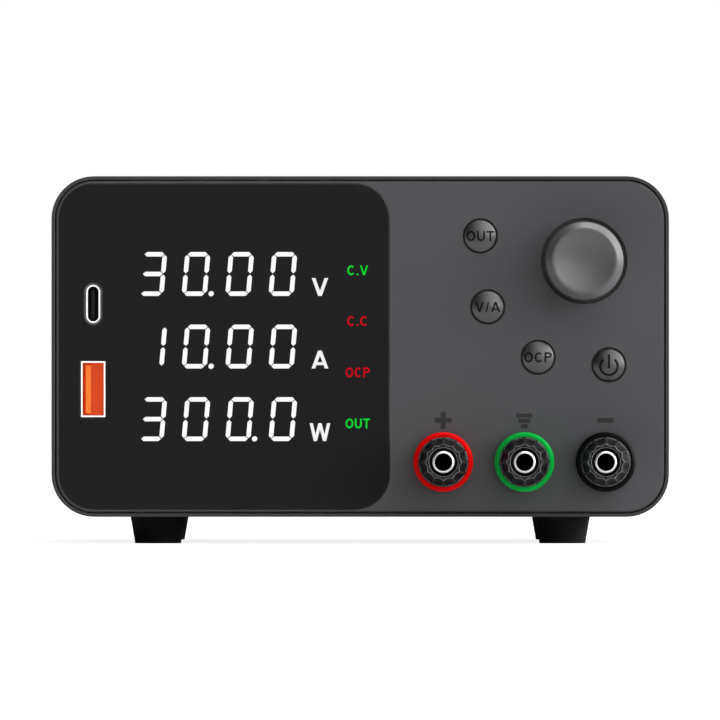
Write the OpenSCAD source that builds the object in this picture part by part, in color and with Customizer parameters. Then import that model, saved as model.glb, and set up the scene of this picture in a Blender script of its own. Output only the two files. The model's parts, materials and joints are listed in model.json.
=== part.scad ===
/* [Case] */
// Width of the painted steel case
case_w = 145; // [140:1:170]
// Height of the case without its feet
case_h = 80; // [78:1:96]
// Depth of the case from its front edge to its rear edge
case_d = 210; // [205:1:250]
// Outer radius of the four long corners of the case
corner_r = 10; // [8:0.5:12]
// Thickness of the steel sheet
sheet_t = 0.8; // [0.6:0.1:1.2]
// Clearance between the panels and the steel shell around them
fit_gap = 0.25; // [0.15:0.05:0.4]
// Height of the side seam above the underside of the case
seam_h = 18; // [15:0.5:22]
// Gap between the cover and the tray along the seam
seam_gap = 0.3; // [0.2:0.1:0.6]
// Length at the front edge over which cover and tray meet without a gap
seam_register = 3; // [2:0.5:8]
// Height that the tray's inner lip stands above the seam
lip_h = 10; // [8:0.5:14]
// Distance from the front edge to the first cover screw
screw_inset = 28; // [24:1:36]

/* [Vents] */
// Number of ventilation slots in one row
vent_count = 14; // [6:1:16]
// Distance between neighbouring slots
vent_pitch = 6.5; // [5:0.5:7]
// Width of one slot
vent_w = 2.6; // [2:0.2:3.4]
// Length of one slot
vent_l = 15; // [10:1:17]
// Number of rows of slots on a side
vent_rows = 2; // [1:1:2]

/* [Feet] */
// Diameter of a rubber foot where it meets the case
foot_top_d = 13; // [12:0.5:16]
// Diameter of a rubber foot where it meets the table
foot_base_d = 10.8; // [9.6:0.2:13]
// Height of a rubber foot
foot_h = 6.3; // [5:0.1:10]
// Distance from the side of the case to the centre of a foot
foot_edge = 24.9; // [18:0.5:30]
// Distance from the front and rear edges to the centre of a foot
foot_inset = 24; // [20:1:36]

/* [Front panel] */
// Thickness of the moulded front panel
panel_t = 3; // [2.8:0.1:3.6]
// Depth of the skirt behind the front panel
skirt_d = 12; // [11:0.5:16]
// Thickness of the skirt
skirt_t = 2; // [1.6:0.1:2.6]
// Chamfer round the front edge of the panel
panel_bevel = 0.4; // [0.2:0.1:0.6]
// Width of the panel's rim outside the display window
window_rim = 0.7; // [0.5:0.1:1.5]
// Width of the display window
window_w = 77.6; // [76:0.2:79]
// Corner radius of the display window
window_r = 8.2; // [6:0.2:8.6]
// Thickness of the display window
window_t = 1.5; // [1:0.1:1.8]

/* [Displays] */
// Distance from the window's left edge to the centre of the displays
display_inset = 37.4; // [36:0.2:39]
// Distance between two rows of digits
row_pitch = 17; // [16.6:0.1:19]
// Width of one four-digit display
display_w = 40.2; // [38:0.2:41]
// Height of one four-digit display
display_h = 15; // [14:0.2:15.4]
// Distance from the window's left edge to the centre of the indicator lights
light_inset = 70.1; // [68:0.1:71]
// Distance between two indicator lights
light_pitch = 12; // [11:0.5:13]
// Distance from the front plane to the control board
board_y = 9.6; // [9.4:0.1:11]
// Thickness of every circuit board
board_t = 1.6; // [1:0.1:2]

/* [Controls] */
// Distance from the right side of the case to the knob's axis
knob_edge = 19.9; // [18:0.1:22]
// Distance from the top of the case to the knob's axis
knob_drop = 19.9; // [18:0.1:22]
// Diameter of the knob at its base
knob_d = 18.6; // [16:0.2:20]
// Diameter of the dished front face of the knob
knob_face_d = 15.2; // [12:0.2:15.4]
// Distance that the knob stands out of the front plane
knob_reach = 12.5; // [11.5:0.5:16]
// Diameter of the encoder's shaft
shaft_d = 6; // [5.6:0.1:6.2]
// Travel of the knob when it is pressed
knob_push = 0.5; // [0.3:0.1:0.6]
// Radius of the arc of buttons round the knob
button_arc_r = 25.1; // [24.6:0.1:26]
// Angle of the first button seen from the knob
button_first = 166.5; // [165:0.5:168]
// Angle between neighbouring buttons
button_step = 38.95; // [38:0.05:40]
// Diameter of a button cap
button_d = 7.4; // [7:0.1:8.2]
// Clearance round a button cap in its hole
button_gap = 0.45; // [0.2:0.05:0.5]
// Distance that a button stands out of the front plane
button_reach = 1.2; // [1:0.1:2]
// Travel of the three small buttons
button_travel = 0.6; // [0.4:0.1:0.8]
// Travel of the power button
power_travel = 2; // [1:0.1:2.4]

/* [Terminals] */
// Distance from the right side of the case to the nearest terminal
post_edge = 14.9; // [13:0.1:17]
// Distance between two terminals
post_pitch = 19.05; // [17:0.05:20]
// Distance from the underside of the case to the terminals
post_rise = 12.9; // [12:0.1:16]
// Diameter of the coloured flange of a terminal
flange_d = 14; // [13.6:0.2:15.6]
// Thickness of the coloured flange
flange_t = 4; // [3:0.1:5]
// Diameter of the terminal's cap over its ridges
cap_d = 11.8; // [11.6:0.1:13]
// Diameter of the cap over its ridges at the front
cap_front_d = 8.6; // [8.4:0.1:9.2]
// Distance from the front plane to the tip of a terminal
post_reach = 15.8; // [14.5:0.1:18]
// Diameter of the terminal's threaded shaft
post_d = 6; // [5.8:0.1:6.2]
// Diameter of the shaft's plain front end
post_nose_d = 5.1; // [5:0.1:5.4]
// Diameter of the plug socket in the shaft
socket_d = 4.1; // [4:0.05:4.2]
// Depth of the plug socket
socket_l = 20; // [16:0.5:22]
// Number of grip flutes round a cap
cap_flutes = 12; // [8:1:14]
// Travel of a cap when it is unscrewed
cap_travel = 4; // [2:0.1:4]

/* [Charging ports] */
// Distance from the left side of the case to the ports' centre line
usb_edge = 9.8; // [9.4:0.1:10.4]
// Distance of each port above or below the middle of the case
usb_offset = 10; // [9:0.5:14]
// Width of the flat port's steel shell
usb_a_w = 5.7; // [5.4:0.1:6]
// Length of the flat port's steel shell
usb_a_l = 13.1; // [12.6:0.1:13.6]
// Width of the round-ended port's steel shell
usb_c_w = 3.26; // [3.1:0.02:3.4]
// Length of the round-ended port's steel shell
usb_c_l = 8.94; // [8.7:0.02:9.2]
// Thickness of the ports' steel shells
usb_shell_t = 0.35; // [0.25:0.05:0.4]
// Depth of the flat port
usb_a_depth = 14; // [13:0.5:16]
// Depth of the round-ended port
usb_c_depth = 10; // [9:0.5:12]

/* [Rear panel] */
// Thickness of the rear panel
rear_t = 1.2; // [1:0.1:1.6]
// Size of the square cooling fan
fan_size = 60; // [56:1:60]
// Thickness of the fan
fan_t = 15; // [14:0.5:20]
// Distance from the left side of the case, seen from the front, to the fan's axis
fan_edge = 43.5; // [43:0.5:50]
// Number of fan blades
fan_blades = 7; // [5:1:9]
// Distance from the right side of the case, seen from the front, to the mains inlet
inlet_edge = 31; // [29:0.5:38]
// Distance of the mains inlet below the middle of the case
inlet_drop = 9; // [7:0.5:11]
// Distance that the inlet's flange stands out of the rear panel
inlet_flange_t = 2.5; // [2:0.1:3]
// Travel of the fuse drawer
drawer_travel = 15; // [8:0.5:16]
// Distance of the voltage selector above the middle of the case
selector_rise = 22; // [21:0.5:25]
// Travel of the voltage selector's slider
selector_travel = 4; // [2:0.1:4.5]

/* [Inside] */
// Width of the main circuit board
main_w = 120; // [110:1:124]
// Free depth between the front plane and the main circuit board
main_front = 54; // [50:1:60]
// Free depth between the main circuit board and the rear plane
main_rear = 28; // [24:1:34]
// Height of the main board's standoffs
standoff_h = 6; // [5:0.5:8]
// Height of the transformer's core
core_h = 36; // [30:1:42]
// Height of the aluminium heatsinks
sink_h = 38; // [30:1:44]
// Diameter of the two large input capacitors
cap_body_d = 22; // [18:1:25]
// Height of the two large input capacitors
cap_body_h = 35; // [25:1:42]

/* [Hidden] */
$fn = 48;
EPS = 0.01;

// Overall places: the origin is at the middle of the whole unit, on the table
front_reach = max(post_reach, knob_reach);
drawer_face_t = 1.6;
drawer_lift = 0.1;
rear_reach = inlet_flange_t + drawer_lift + drawer_face_t;
front_y = -(case_d + rear_reach - front_reach) / 2;
rear_y = front_y + case_d;
mid_z = foot_h + case_h / 2;
floor_z = foot_h + sheet_t;

// Shell
shell_in = sheet_t + fit_gap;
lip_t = sheet_t;
lip_x = case_w / 2 - shell_in;
seam_z = -case_h / 2 + seam_h;
joggle_h = 2;
lip_foot = 4;

// M3 screws
thread_d = 3;
tapped_d = 3.1;
clear_d = 3.4;
csk_head_d = 5.6;
csk_head_h = 1.5;
csk_slack = 0.15;
pan_head_d = 5.6;
pan_head_h = 1.9;
screw_l = 6;
boss_d = 6.4;
collar_h = 3;
cover_screw_z = seam_z + lip_h / 2 + seam_gap / 2;
cover_screw_pitch = (case_d - 2 * screw_inset) / 2;

// Display window and what lies behind it
panel_w = case_w - 2 * shell_in;
panel_h = case_h - 2 * shell_in;
panel_r = corner_r - shell_in;
window_x = -panel_w / 2 + window_rim + window_w / 2;
window_h = panel_h - 2 * window_rim;
window_gap = 0.1;
display_x = window_x - window_w / 2 + display_inset;
display_gap = 0.3;
light_x = window_x - window_w / 2 + light_inset;
light_w = 6.4;
light_h = 3;
display_y = window_t + 0.4;

// Knob and buttons
knob_x = case_w / 2 - knob_edge;
knob_z = case_h / 2 - knob_drop;
well_d = knob_d + 1.6;
well_depth = 1.4;
knob_base_y = 0.5;
bushing_d = 7;
encoder_w = 12.4;
encoder_front = panel_t + 0.1;
rotor_d = 9.6;
rotor_t = 1.6;
rotor_front = encoder_front + 2.4;
shaft_step = rotor_front - knob_push - 0.4;
tail_d = 4;
shaft_gap = 0.05;
button_flange_t = 1;
button_flange_gap = 0.2;
stem_d = 3.4;
tact_w = 6;
tact_h = 3.5;
tact_front = board_y - tact_h;
power_front = board_y + board_t + 0.1;
power_w = 8.4;
power_l = 14;

// Terminals
post_x = case_w / 2 - post_edge;
post_z = -case_h / 2 + post_rise;
post_hole_d = 11;
barrel_d = 10.6;
washer_t = 1;
washer_d = 9.6;
washer_gap = 0.05;
cap_rear = flange_t + 0.3;
cap_front = post_reach - 0.2;
cap_skirt = 3;
post_flat = 5.2;
wire_d = 2.4;
nut_w = 10;
nut_t = 3;
plate_t = 1;
nut_y = panel_t + plate_t;
lug_y = nut_y + nut_t;
tail_l = lug_y + plate_t + nut_t + 6;
panel_screw_x = post_x - 1.5 * post_pitch;
boss_back = board_y - 0.4;

// Charging ports
usb_x = -case_w / 2 + usb_edge;
usb_board_x = usb_x + usb_a_w / 2;
usb_board_y = panel_t + 0.4;
usb_board_l = 42;
usb_board_h = 2 * usb_offset + usb_a_l + 6;
port_gap = 0.15;
tongue_t = 1.2;

// Rear
fan_x = -case_w / 2 + fan_edge;
fan_hole = fan_size * 5 / 12;
fan_bore = fan_size - 4;
hub_d = 22;
inlet_x = case_w / 2 - inlet_edge;
inlet_w = 27;
inlet_h = 31;
inlet_d = 25;
socket_w = 24.4;
socket_h = 16.4;
socket_deep = 17;
socket_drop = 5.5;
drawer_w = 24;
drawer_h = 7;
drawer_l = 19;
drawer_rise = 9.4;
drawer_gap = 0.2;
fuse_d = 5.2;
fuse_l = 20;
selector_w = 21;
selector_h = 10;
selector_d = 9;
slider_w = 7;
slider_h = 5;
lug_x = case_w / 2 - 7.5;
lug_z = case_h / 2 - 8;
lug_w = 10;

// Main board
main_z = floor_z + standoff_h;
main_top = main_z + board_t;
main_y = front_y + main_front;
main_l = case_d - main_front - main_rear;
standoff_edge = 5;
standoff_x = main_w / 2 - standoff_edge;
sink_edge = 16;
sink_wall = 3;
sink_fin = 9;
sink_fin_t = 1.6;
sink_from = 36;
sink_to = main_l - 32;
sink_l = sink_to - sink_from;
core_w = 40;
core_leg = 7;
core_depth = 15;
core_lift = 3;
winding_depth = 32;
core_x = 18;
core_y = main_y + main_l / 2 + 2;
small_can_d = 10;
small_can_h = 20;
small_can_x = -20;
small_can_from = 48;
small_can_pitch = 13;

BLACK_STEEL = "#3f4042";
GREY_ABS = "#525154";
GLOSS_BLACK = "#222224";
BLACK = "#151515";
NICKEL = "#d8d8d8";
BOARD_GREEN = "#1f5b3a";

// Places a front part: z points out of the front plane, x to the right and y up
module on_front(x = 0, z = 0) {
    translate([x, front_y, mid_z + z]) rotate([90, 0, 0]) children();
}

// Places a rear part: z points out of the rear plane, x keeps the direction of the front view
module on_rear(x = 0, z = 0) {
    translate([x, rear_y, mid_z + z]) rotate([-90, 0, 0]) mirror([0, 1, 0]) children();
}

// Extrudes a front outline from depth a to depth b behind the front plane
module between(a, b) {
    translate([0, 0, -b]) linear_extrude(b - a) children();
}

module tube(od, id, h) {
    difference() {
        cylinder(d = od, h = h);
        translate([0, 0, -1]) cylinder(d = id, h = h + 2);
    }
}

module block(w, h, d, x = 0, y = 0, z = 0) {
    translate([x - w / 2, y - h / 2, z]) cube([w, h, d]);
}

module round_rect(w, h, r) {
    square([w, h - 2 * r], center = true);
    square([w - 2 * r, h], center = true);
    for (sx = [-1, 1], sy = [-1, 1]) translate([sx * (w / 2 - r), sy * (h / 2 - r)]) circle(r);
}

module slot(w, l) {
    square([w, l - w], center = true);
    for (s = [-1, 1]) translate([0, s * (l - w) / 2]) circle(d = w);
}

module at_corners(x, y) {
    for (sx = [-1, 1], sy = [-1, 1]) translate([sx * x, sy * y, 0]) children();
}

// Rounded plate whose front edge has an exact chamfer: cones at the corners, prisms between them
module bevelled_plate(w, h, r, t, b) {
    translate([0, 0, -t]) linear_extrude(t - b) round_rect(w, h, r);
    translate([0, 0, -b]) {
        at_corners(w / 2 - r, h / 2 - r) cylinder(r1 = r, r2 = r - b, h = b);
        rotate([90, 0, 90]) linear_extrude(w - 2 * r, center = true)
            polygon([[-h / 2, 0], [h / 2, 0], [h / 2 - b, b], [b - h / 2, b]]);
        rotate([90, 0, 0]) linear_extrude(h - 2 * r, center = true)
            polygon([[-w / 2, 0], [w / 2, 0], [w / 2 - b, b], [b - w / 2, b]]);
    }
}

// Screws lie along z with the outer face of the sheet at z = 0
module cross_recess(top, size) {
    for (a = [0, 90]) rotate(a) block(size, 0.8, 1.2, z = top - 1.1);
}

module csk_screw() {
    difference() {
        union() {
            translate([0, 0, -csk_head_h])
                cylinder(d1 = thread_d, d2 = csk_head_d, h = csk_head_h);
            translate([0, 0, -screw_l]) cylinder(d = thread_d, h = screw_l - csk_head_h);
        }
        cross_recess(0, 3.2);
    }
}

module csk_cut(through) {
    translate([0, 0, -csk_head_h]) cylinder(d1 = thread_d + 2 * csk_slack,
        d2 = csk_head_d + 2 * csk_slack, h = csk_head_h);
    translate([0, 0, -EPS]) cylinder(d = csk_head_d + 2 * csk_slack, h = 1);
    translate([0, 0, -through]) cylinder(d = thread_d + 2 * csk_slack, h = through);
}

// A tapped hole with room for the countersunk head above it
module csk_tapped(deep) {
    csk_cut(csk_head_h);
    translate([0, 0, -deep]) cylinder(d = tapped_d, h = deep);
}

module pan_screw() {
    difference() {
        union() {
            cylinder(d = pan_head_d, h = pan_head_h - 0.5);
            translate([0, 0, pan_head_h - 0.5])
                cylinder(d1 = pan_head_d, d2 = pan_head_d - 1.6, h = 0.5);
            translate([0, 0, -screw_l]) cylinder(d = thread_d, h = screw_l);
        }
        cross_recess(pan_head_h, 3);
    }
}

// Places on the side walls for the countersunk cover screws
module at_cover_screws() {
    for (side = [-1, 1], i = [0:2])
        translate([side * case_w / 2, front_y + screw_inset + i * cover_screw_pitch,
            mid_z + cover_screw_z]) rotate([0, side * 90, 0]) children();
}

// Places under the tray for the screws that hold the front panel
module at_panel_screws() {
    for (side = [-1, 1]) translate([side * panel_screw_x, front_y + (panel_t + boss_back) / 2, foot_h])
        rotate([180, 0, 0]) children();
}

module case_outline(inset) {
    round_rect(case_w - 2 * inset, case_h - 2 * inset, corner_r - inset);
}

module shell_profile() {
    difference() {
        case_outline(0);
        case_outline(sheet_t);
    }
}

module vent_field() {
    setback = 6;
    rise = 12.5;
    web = 3;
    first_y = front_y + case_d / 2 - (vent_count - 1) * vent_pitch / 2 + setback;
    for (side = [-1, 1], i = [0:vent_count - 1], row = [0:vent_rows - 1])
        translate([side * case_w / 2, first_y + i * vent_pitch,
            mid_z + rise + (row - (vent_rows - 1) / 2) * (vent_l + web)])
            rotate([0, 90, 0]) translate([0, 0, -2]) linear_extrude(4) rotate(90) slot(vent_w, vent_l);
}

module top_cover() {
    color(BLACK_STEEL) difference() {
        union() {
            on_front() between(0, case_d) difference() {
                shell_profile();
                translate([-case_w, seam_z + seam_gap / 2 - case_h]) square([2 * case_w, case_h]);
            }
            rear_lugs(1);
        }
        at_cover_screws() csk_cut(5);
        vent_field();
    }
}

// Lugs at both corners of the top (s = 1) or of the tray (s = -1), joined to the sheet
module rear_lugs(s) {
    difference() {
        on_rear() translate([0, 0, -rear_t - 1.5]) linear_extrude(1.5) intersection() {
            case_outline(sheet_t / 2);
            for (side = [-1, 1]) translate([side * lug_x, s * (lug_z + corner_r / 4)])
                square([lug_w, lug_w + corner_r / 2], center = true);
        }
        for (side = [-1, 1]) on_rear(side * lug_x, s * lug_z)
            translate([0, 0, -rear_t - 5]) cylinder(d = tapped_d, h = 10);
    }
}

// One side lip of the tray: it steps inwards under the seam and stands behind the cover
module lip_profile() {
    for (side = [-1, 1]) {
        translate([side * (lip_x - lip_t / 2), seam_z + (lip_h - lip_foot) / 2])
            square([lip_t, lip_h + lip_foot], center = true);
        translate([side * (case_w / 2 - sheet_t / 2 - lip_t), seam_z - lip_foot + joggle_h / 2])
            square([sheet_t + 2 * lip_t - 0.2, joggle_h], center = true);
    }
}

module bottom_tray() {
    lip_from = skirt_d + 4;
    lip_to = case_d - rear_t - 8;
    color(BLACK_STEEL) difference() {
        union() {
            difference() {
                on_front() between(0, case_d) difference() {
                    shell_profile();
                    translate([-case_w, seam_z + seam_gap / 2]) square([2 * case_w, case_h]);
                }
                translate([-case_w, front_y + seam_register, seam_z - seam_gap / 2])
                    cube([2 * case_w, case_d, seam_gap + 1]);
            }
            on_front() between(lip_from, lip_to) lip_profile();
            rear_lugs(-1);
            at_cover_screws() translate([0, 0, -shell_in - lip_t - collar_h + EPS])
                cylinder(d = boss_d, h = collar_h);
            at_standoffs() cylinder(d = boss_d, h = standoff_h + EPS);
            at_feet() translate([0, 0, sheet_t - EPS]) cylinder(d = boss_d, h = collar_h);
        }
        at_cover_screws() csk_tapped(shell_in + lip_t + collar_h + 1);
        at_panel_screws() csk_cut(4);
        at_standoffs() translate([0, 0, -0.1]) cylinder(d = tapped_d, h = standoff_h + 1);
        at_feet() translate([0, 0, -1]) cylinder(d = tapped_d, h = collar_h + 3);
    }
}

module at_standoffs() {
    for (sx = [-1, 1], far = [standoff_edge, main_l - standoff_edge])
        translate([sx * standoff_x, main_y + far, floor_z - EPS]) children();
}

// Centres of the four feet, on the underside of the tray
module at_feet() {
    for (sx = [-1, 1], sy = [0, 1]) foot_place(sx, sy) children();
}

module foot_place(sx, sy) {
    translate([sx * (case_w / 2 - foot_edge), front_y + foot_inset
        + sy * (case_d - 2 * foot_inset), foot_h]) children();
}

foot_bore_d = 7;
foot_floor = 2.4;

module foot(sx, sy) {
    color(BLACK) foot_place(sx, sy) translate([0, 0, -foot_h]) difference() {
        cylinder(d1 = foot_base_d, d2 = foot_top_d, h = foot_h);
        translate([0, 0, -1]) cylinder(d = foot_bore_d, h = foot_h - foot_floor + 1);
        cylinder(d = clear_d, h = foot_h + 1);
    }
}

module foot_screws() {
    color(NICKEL) at_feet() translate([0, 0, -foot_floor]) rotate([180, 0, 0]) pan_screw();
}

module case_screws() {
    color("#2b2b2d") {
        at_cover_screws() csk_screw();
        at_panel_screws() csk_screw();
    }
}

module panel_screws() {
    color(NICKEL) {
        for (sx = [-1, 1], sz = [-1, 1]) on_rear(sx * lug_x, sz * lug_z) pan_screw();
        for (sx = [-1, 1], sz = [-1, 1]) on_rear(fan_x + sx * fan_hole, sz * fan_hole) pan_screw();
        at_standoffs() translate([0, 0, standoff_h + board_t + EPS]) pan_screw();
        at_board_bosses() translate([0, 0, -board_y - board_t]) rotate([180, 0, 0]) pan_screw();
    }
}

// Four slotted rings between four spokes: the finger guard punched in the rear panel
module fan_grille() {
    ring = 2.7;
    pitch = (fan_bore / 2 - 8) / 5;
    difference() {
        for (i = [0:4]) difference() {
            circle(8 + i * pitch + ring);
            circle(8 + i * pitch);
        }
        for (a = [45, 135]) rotate(a) square([fan_size, 3.2], center = true);
    }
}

module rear_panel() {
    flange_w = case_w - 2 * corner_r - 30;
    color(BLACK_STEEL) difference() {
        union() {
            on_rear() translate([0, 0, -rear_t]) linear_extrude(rear_t) case_outline(shell_in);
            for (s = [-1, 1]) on_rear(0, s * (case_h / 2 - shell_in - rear_t / 2))
                translate([-flange_w / 2, -rear_t / 2, -rear_t - 7]) cube([flange_w, rear_t, 7 + EPS]);
        }
        on_rear(fan_x) translate([0, 0, -5]) linear_extrude(10) fan_grille();
        for (sx = [-1, 1], sz = [-1, 1]) {
            on_rear(sx * lug_x, sz * lug_z) translate([0, 0, -5]) cylinder(d = clear_d, h = 10);
            on_rear(fan_x + sx * fan_hole, sz * fan_hole)
                translate([0, 0, -5]) cylinder(d = clear_d, h = 10);
        }
        on_rear(inlet_x, -inlet_drop) block(inlet_w + 0.4, inlet_h + 0.4, 10, z = -5);
        on_rear(inlet_x, selector_rise) block(selector_w + 0.4, selector_h + 0.4, 10, z = -5);
    }
}

// Places behind the front panel for the control board's four bosses
board_left = display_x - display_w / 2 - 2.4;
board_right = case_w / 2 - shell_in - skirt_t - 1.5;
board_top = case_h / 2 - shell_in - skirt_t - 2;
boss_x1 = board_left + 4;
boss_x2 = board_right - 4;
boss_z = board_top - 3.6;

module at_board_bosses() {
    for (p = [[boss_x1, boss_z], [boss_x1, -boss_z], [knob_x - 15, boss_z], [light_x + 4.6, -boss_z]])
        on_front(p[0], p[1]) children();
}

module at_posts() {
    for (i = [0:2]) on_front(post_x - i * post_pitch, post_z) children();
}

function button_pos(i) = [knob_x + button_arc_r * cos(button_first + i * button_step),
    knob_z + button_arc_r * sin(button_first + i * button_step)];

module at_button(i) {
    on_front(button_pos(i)[0], button_pos(i)[1]) children();
}

module at_rows() {
    for (i = [-1:1]) on_front(display_x, i * row_pitch) children();
}

module at_lights() {
    for (i = [-1.5:1.5]) on_front(light_x, i * light_pitch) children();
}

module front_panel() {
    color(GREY_ABS) difference() {
        union() {
            on_front() bevelled_plate(panel_w, panel_h, panel_r, panel_t, panel_bevel);
            on_front() between(panel_t - EPS, skirt_d) difference() {
                case_outline(shell_in);
                case_outline(shell_in + skirt_t);
            }
            at_board_bosses() translate([0, 0, -board_y])
                cylinder(d = boss_d, h = board_y - panel_t + EPS);
            for (side = [-1, 1]) on_front(side * panel_screw_x, -case_h / 2 + shell_in + 4)
                block(8, 8, boss_back - panel_t + EPS, z = -boss_back);
            for (s = [-1, 1]) on_front(usb_board_x + board_t / 2, s * (usb_board_h / 2 - 2))
                block(board_t + 3, 5, 4, z = -panel_t - 4 + EPS);
        }
        on_front(window_x) translate([0, 0, -window_t]) linear_extrude(5)
            round_rect(window_w + 2 * window_gap, window_h + 2 * window_gap, window_r + window_gap);
        at_rows() block(display_w + 2 * display_gap, display_h + 2 * display_gap, 20, z = -10);
        at_lights() block(light_w + 2 * display_gap, light_h + 2 * display_gap, 20, z = -10);
        on_front(knob_x, knob_z) {
            translate([0, 0, -well_depth]) cylinder(d = well_d, h = 5);
            translate([0, 0, -10]) cylinder(d = bushing_d + 0.6, h = 20);
        }
        for (i = [0:3]) at_button(i) translate([0, 0, -10])
            cylinder(d = button_d + 2 * button_gap, h = 20);
        at_posts() translate([0, 0, -10]) cylinder(d = post_hole_d, h = 20);
        port_cuts(port_gap);
        at_board_bosses() translate([0, 0, -board_y - 1]) cylinder(d = tapped_d, h = 7);
        at_panel_screws() csk_tapped(screw_l + 1);
        on_front(usb_board_x + board_t / 2)
            block(board_t + 0.3, usb_board_h + 0.6, 5, z = -usb_board_y - 5);
    }
}

// Openings for the two charging ports
module port_cuts(gap) {
    on_front(usb_x, -usb_offset) block(usb_a_w + 2 * gap, usb_a_l + 2 * gap, 20, z = -10);
    on_front(usb_x, usb_offset) translate([0, 0, -10]) linear_extrude(20)
        slot(usb_c_w + 2 * gap, usb_c_l + 2 * gap);
}

module display_window() {
    color(GLOSS_BLACK) difference() {
        on_front(window_x) between(0, window_t) round_rect(window_w, window_h, window_r);
        port_cuts(port_gap);
    }
}

// A four-digit light module: potted case with its pins through the board
module display_module(row) {
    color("#e8e8e6") on_front(display_x, row * row_pitch) difference() {
        block(display_w, display_h, board_y - display_y, z = -board_y);
        block(display_w - 4, display_h - 8.4, 1, z = -board_y - EPS);
    }
}

module indicator_lights() {
    color("#dfe8df") at_lights() {
        block(light_w, light_h, 3.4, z = -display_y - 3.4);
        block(light_w - 3, light_h - 1, board_y - display_y - 3.4 + EPS, z = -board_y);
    }
}

module control_board() {
    cut_x = post_x - 2 * post_pitch - flange_d / 2 - 1.2;
    cut_z = post_z + flange_d / 2 + 2.6;
    color(BOARD_GREEN) difference() {
        on_front() between(board_y, board_y + board_t) difference() {
            translate([(board_left + board_right) / 2, 0])
                round_rect(board_right - board_left, 2 * board_top, 3);
            translate([cut_x, -case_h]) square([case_w, case_h + cut_z]);
        }
        at_board_bosses() translate([0, 0, -board_y - 5]) cylinder(d = clear_d, h = 10);
        at_button(3) translate([0, 0, -board_y - 5]) cylinder(d = stem_d + 1, h = 10);
    }
}

// A domed cap with a retaining flange and a stem that ends in its switch
module button_cap(i, stem_end) {
    dome = 0.9;
    dome_r = (pow(button_d / 2, 2) + dome * dome) / (2 * dome);
    at_button(i) {
        intersection() {
            translate([0, 0, -panel_t - button_flange_gap]) cylinder(d = button_d,
                h = button_reach + panel_t + button_flange_gap);
            translate([0, 0, button_reach - dome_r]) sphere(dome_r, $fn = 96);
        }
        translate([0, 0, -panel_t - button_flange_gap - button_flange_t])
            cylinder(d = button_d + 2.4, h = button_flange_t);
        translate([0, 0, -stem_end])
            cylinder(d = stem_d, h = stem_end - panel_t - button_flange_gap - button_flange_t + EPS);
    }
}

tact_end = tact_front + 0.9;
power_end = power_front + 8;

module out_button() { color(GREY_ABS) button_cap(0, tact_end); }
module select_button() { color(GREY_ABS) button_cap(1, tact_end); }
module limit_button() { color(GREY_ABS) button_cap(2, tact_end); }
module power_button() { color("#303032") button_cap(3, power_end); }

module tact_switches() {
    color("#2a2a2a") for (i = [0:2]) at_button(i) difference() {
        block(tact_w, tact_w, tact_h, z = -board_y);
        translate([0, 0, -tact_end - button_travel - 0.3]) cylinder(d = stem_d + 0.3, h = 10);
    }
}

module power_switch() {
    color("#2a2a2a") at_button(3) difference() {
        block(power_w, power_w, power_l, z = -power_front - power_l);
        translate([0, 0, -power_end - power_travel - 0.4]) cylinder(d = stem_d + 0.3, h = 20);
    }
}

module encoder_body() {
    cavity_back = rotor_front + rotor_t + 0.5;
    color("#b9bcc0") on_front(knob_x, knob_z) difference() {
        union() {
            block(encoder_w, encoder_w, board_y - encoder_front, z = -board_y);
            translate([0, 0, -encoder_front - EPS]) cylinder(d = bushing_d, h = encoder_front + 1);
        }
        translate([0, 0, -rotor_front]) cylinder(d = shaft_d + 2 * shaft_gap, h = 20);
        translate([0, 0, -cavity_back]) cylinder(d = rotor_d + 0.4, h = cavity_back - rotor_front + 0.2);
        translate([0, 0, -board_y + 0.6]) cylinder(d = tail_d + 0.6, h = 5);
    }
}

// A round bar with one flat, as on a D shaft
module d_bar(d, flat, from, to) {
    difference() {
        translate([0, 0, from]) cylinder(d = d, h = to - from);
        translate([-d, flat, from - 1]) cube([2 * d, d, to - from + 2]);
    }
}

module encoder_rotor() {
    color("#c9b37a") on_front(knob_x, knob_z) difference() {
        translate([0, 0, -rotor_front - rotor_t]) cylinder(d = rotor_d, h = rotor_t);
        d_bar(tail_d + 2 * shaft_gap, tail_d / 2 - 0.6 + shaft_gap, -board_y, 0);
    }
}

module encoder_shaft() {
    tail = min(rotor_front + rotor_t + 0.4, board_y - 0.7 - knob_push);
    color(NICKEL) on_front(knob_x, knob_z) {
        d_bar(tail_d, tail_d / 2 - 0.6, -tail, -shaft_step + EPS);
        translate([0, 0, -shaft_step]) cylinder(d = shaft_d, h = shaft_step + 1.6);
        d_bar(shaft_d, shaft_d / 2 - 1.5, 1.6 - EPS, knob_reach - 2.4);
    }
}

// Turned knob: a conical skirt, a bevelled shoulder and a dished face over a hollow back
module knob() {
    dish = 1.2;
    wall = 1.6;
    shoulder = 1.5;
    face_r = knob_face_d / 2;
    base_r = knob_d / 2;
    dish_r = (pow(face_r - 0.4, 2) + dish * dish) / (2 * dish);
    color(GREY_ABS) on_front(knob_x, knob_z) difference() {
        rotate_extrude() polygon([
            [0, 1.8], [4.6, 1.8], [4.6, -knob_base_y + 0.3], [base_r - wall - 1.4, -knob_base_y + 0.3],
            [base_r - wall - 1.4, 1.8], [base_r - wall, 1.8], [base_r - wall, -knob_base_y],
            [base_r, -knob_base_y], [base_r - 0.2, knob_reach - shoulder], [face_r, knob_reach],
            [0, knob_reach]]);
        translate([0, 0, knob_reach + dish_r - dish]) sphere(dish_r, $fn = 96);
        d_bar(shaft_d + 2 * shaft_gap, shaft_d / 2 - 1.5 + shaft_gap, 1.6, knob_reach - 2.2);
        translate([0, 0, -2]) cylinder(d = bushing_d + 1, h = 3.6 + EPS);
    }
}

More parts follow.
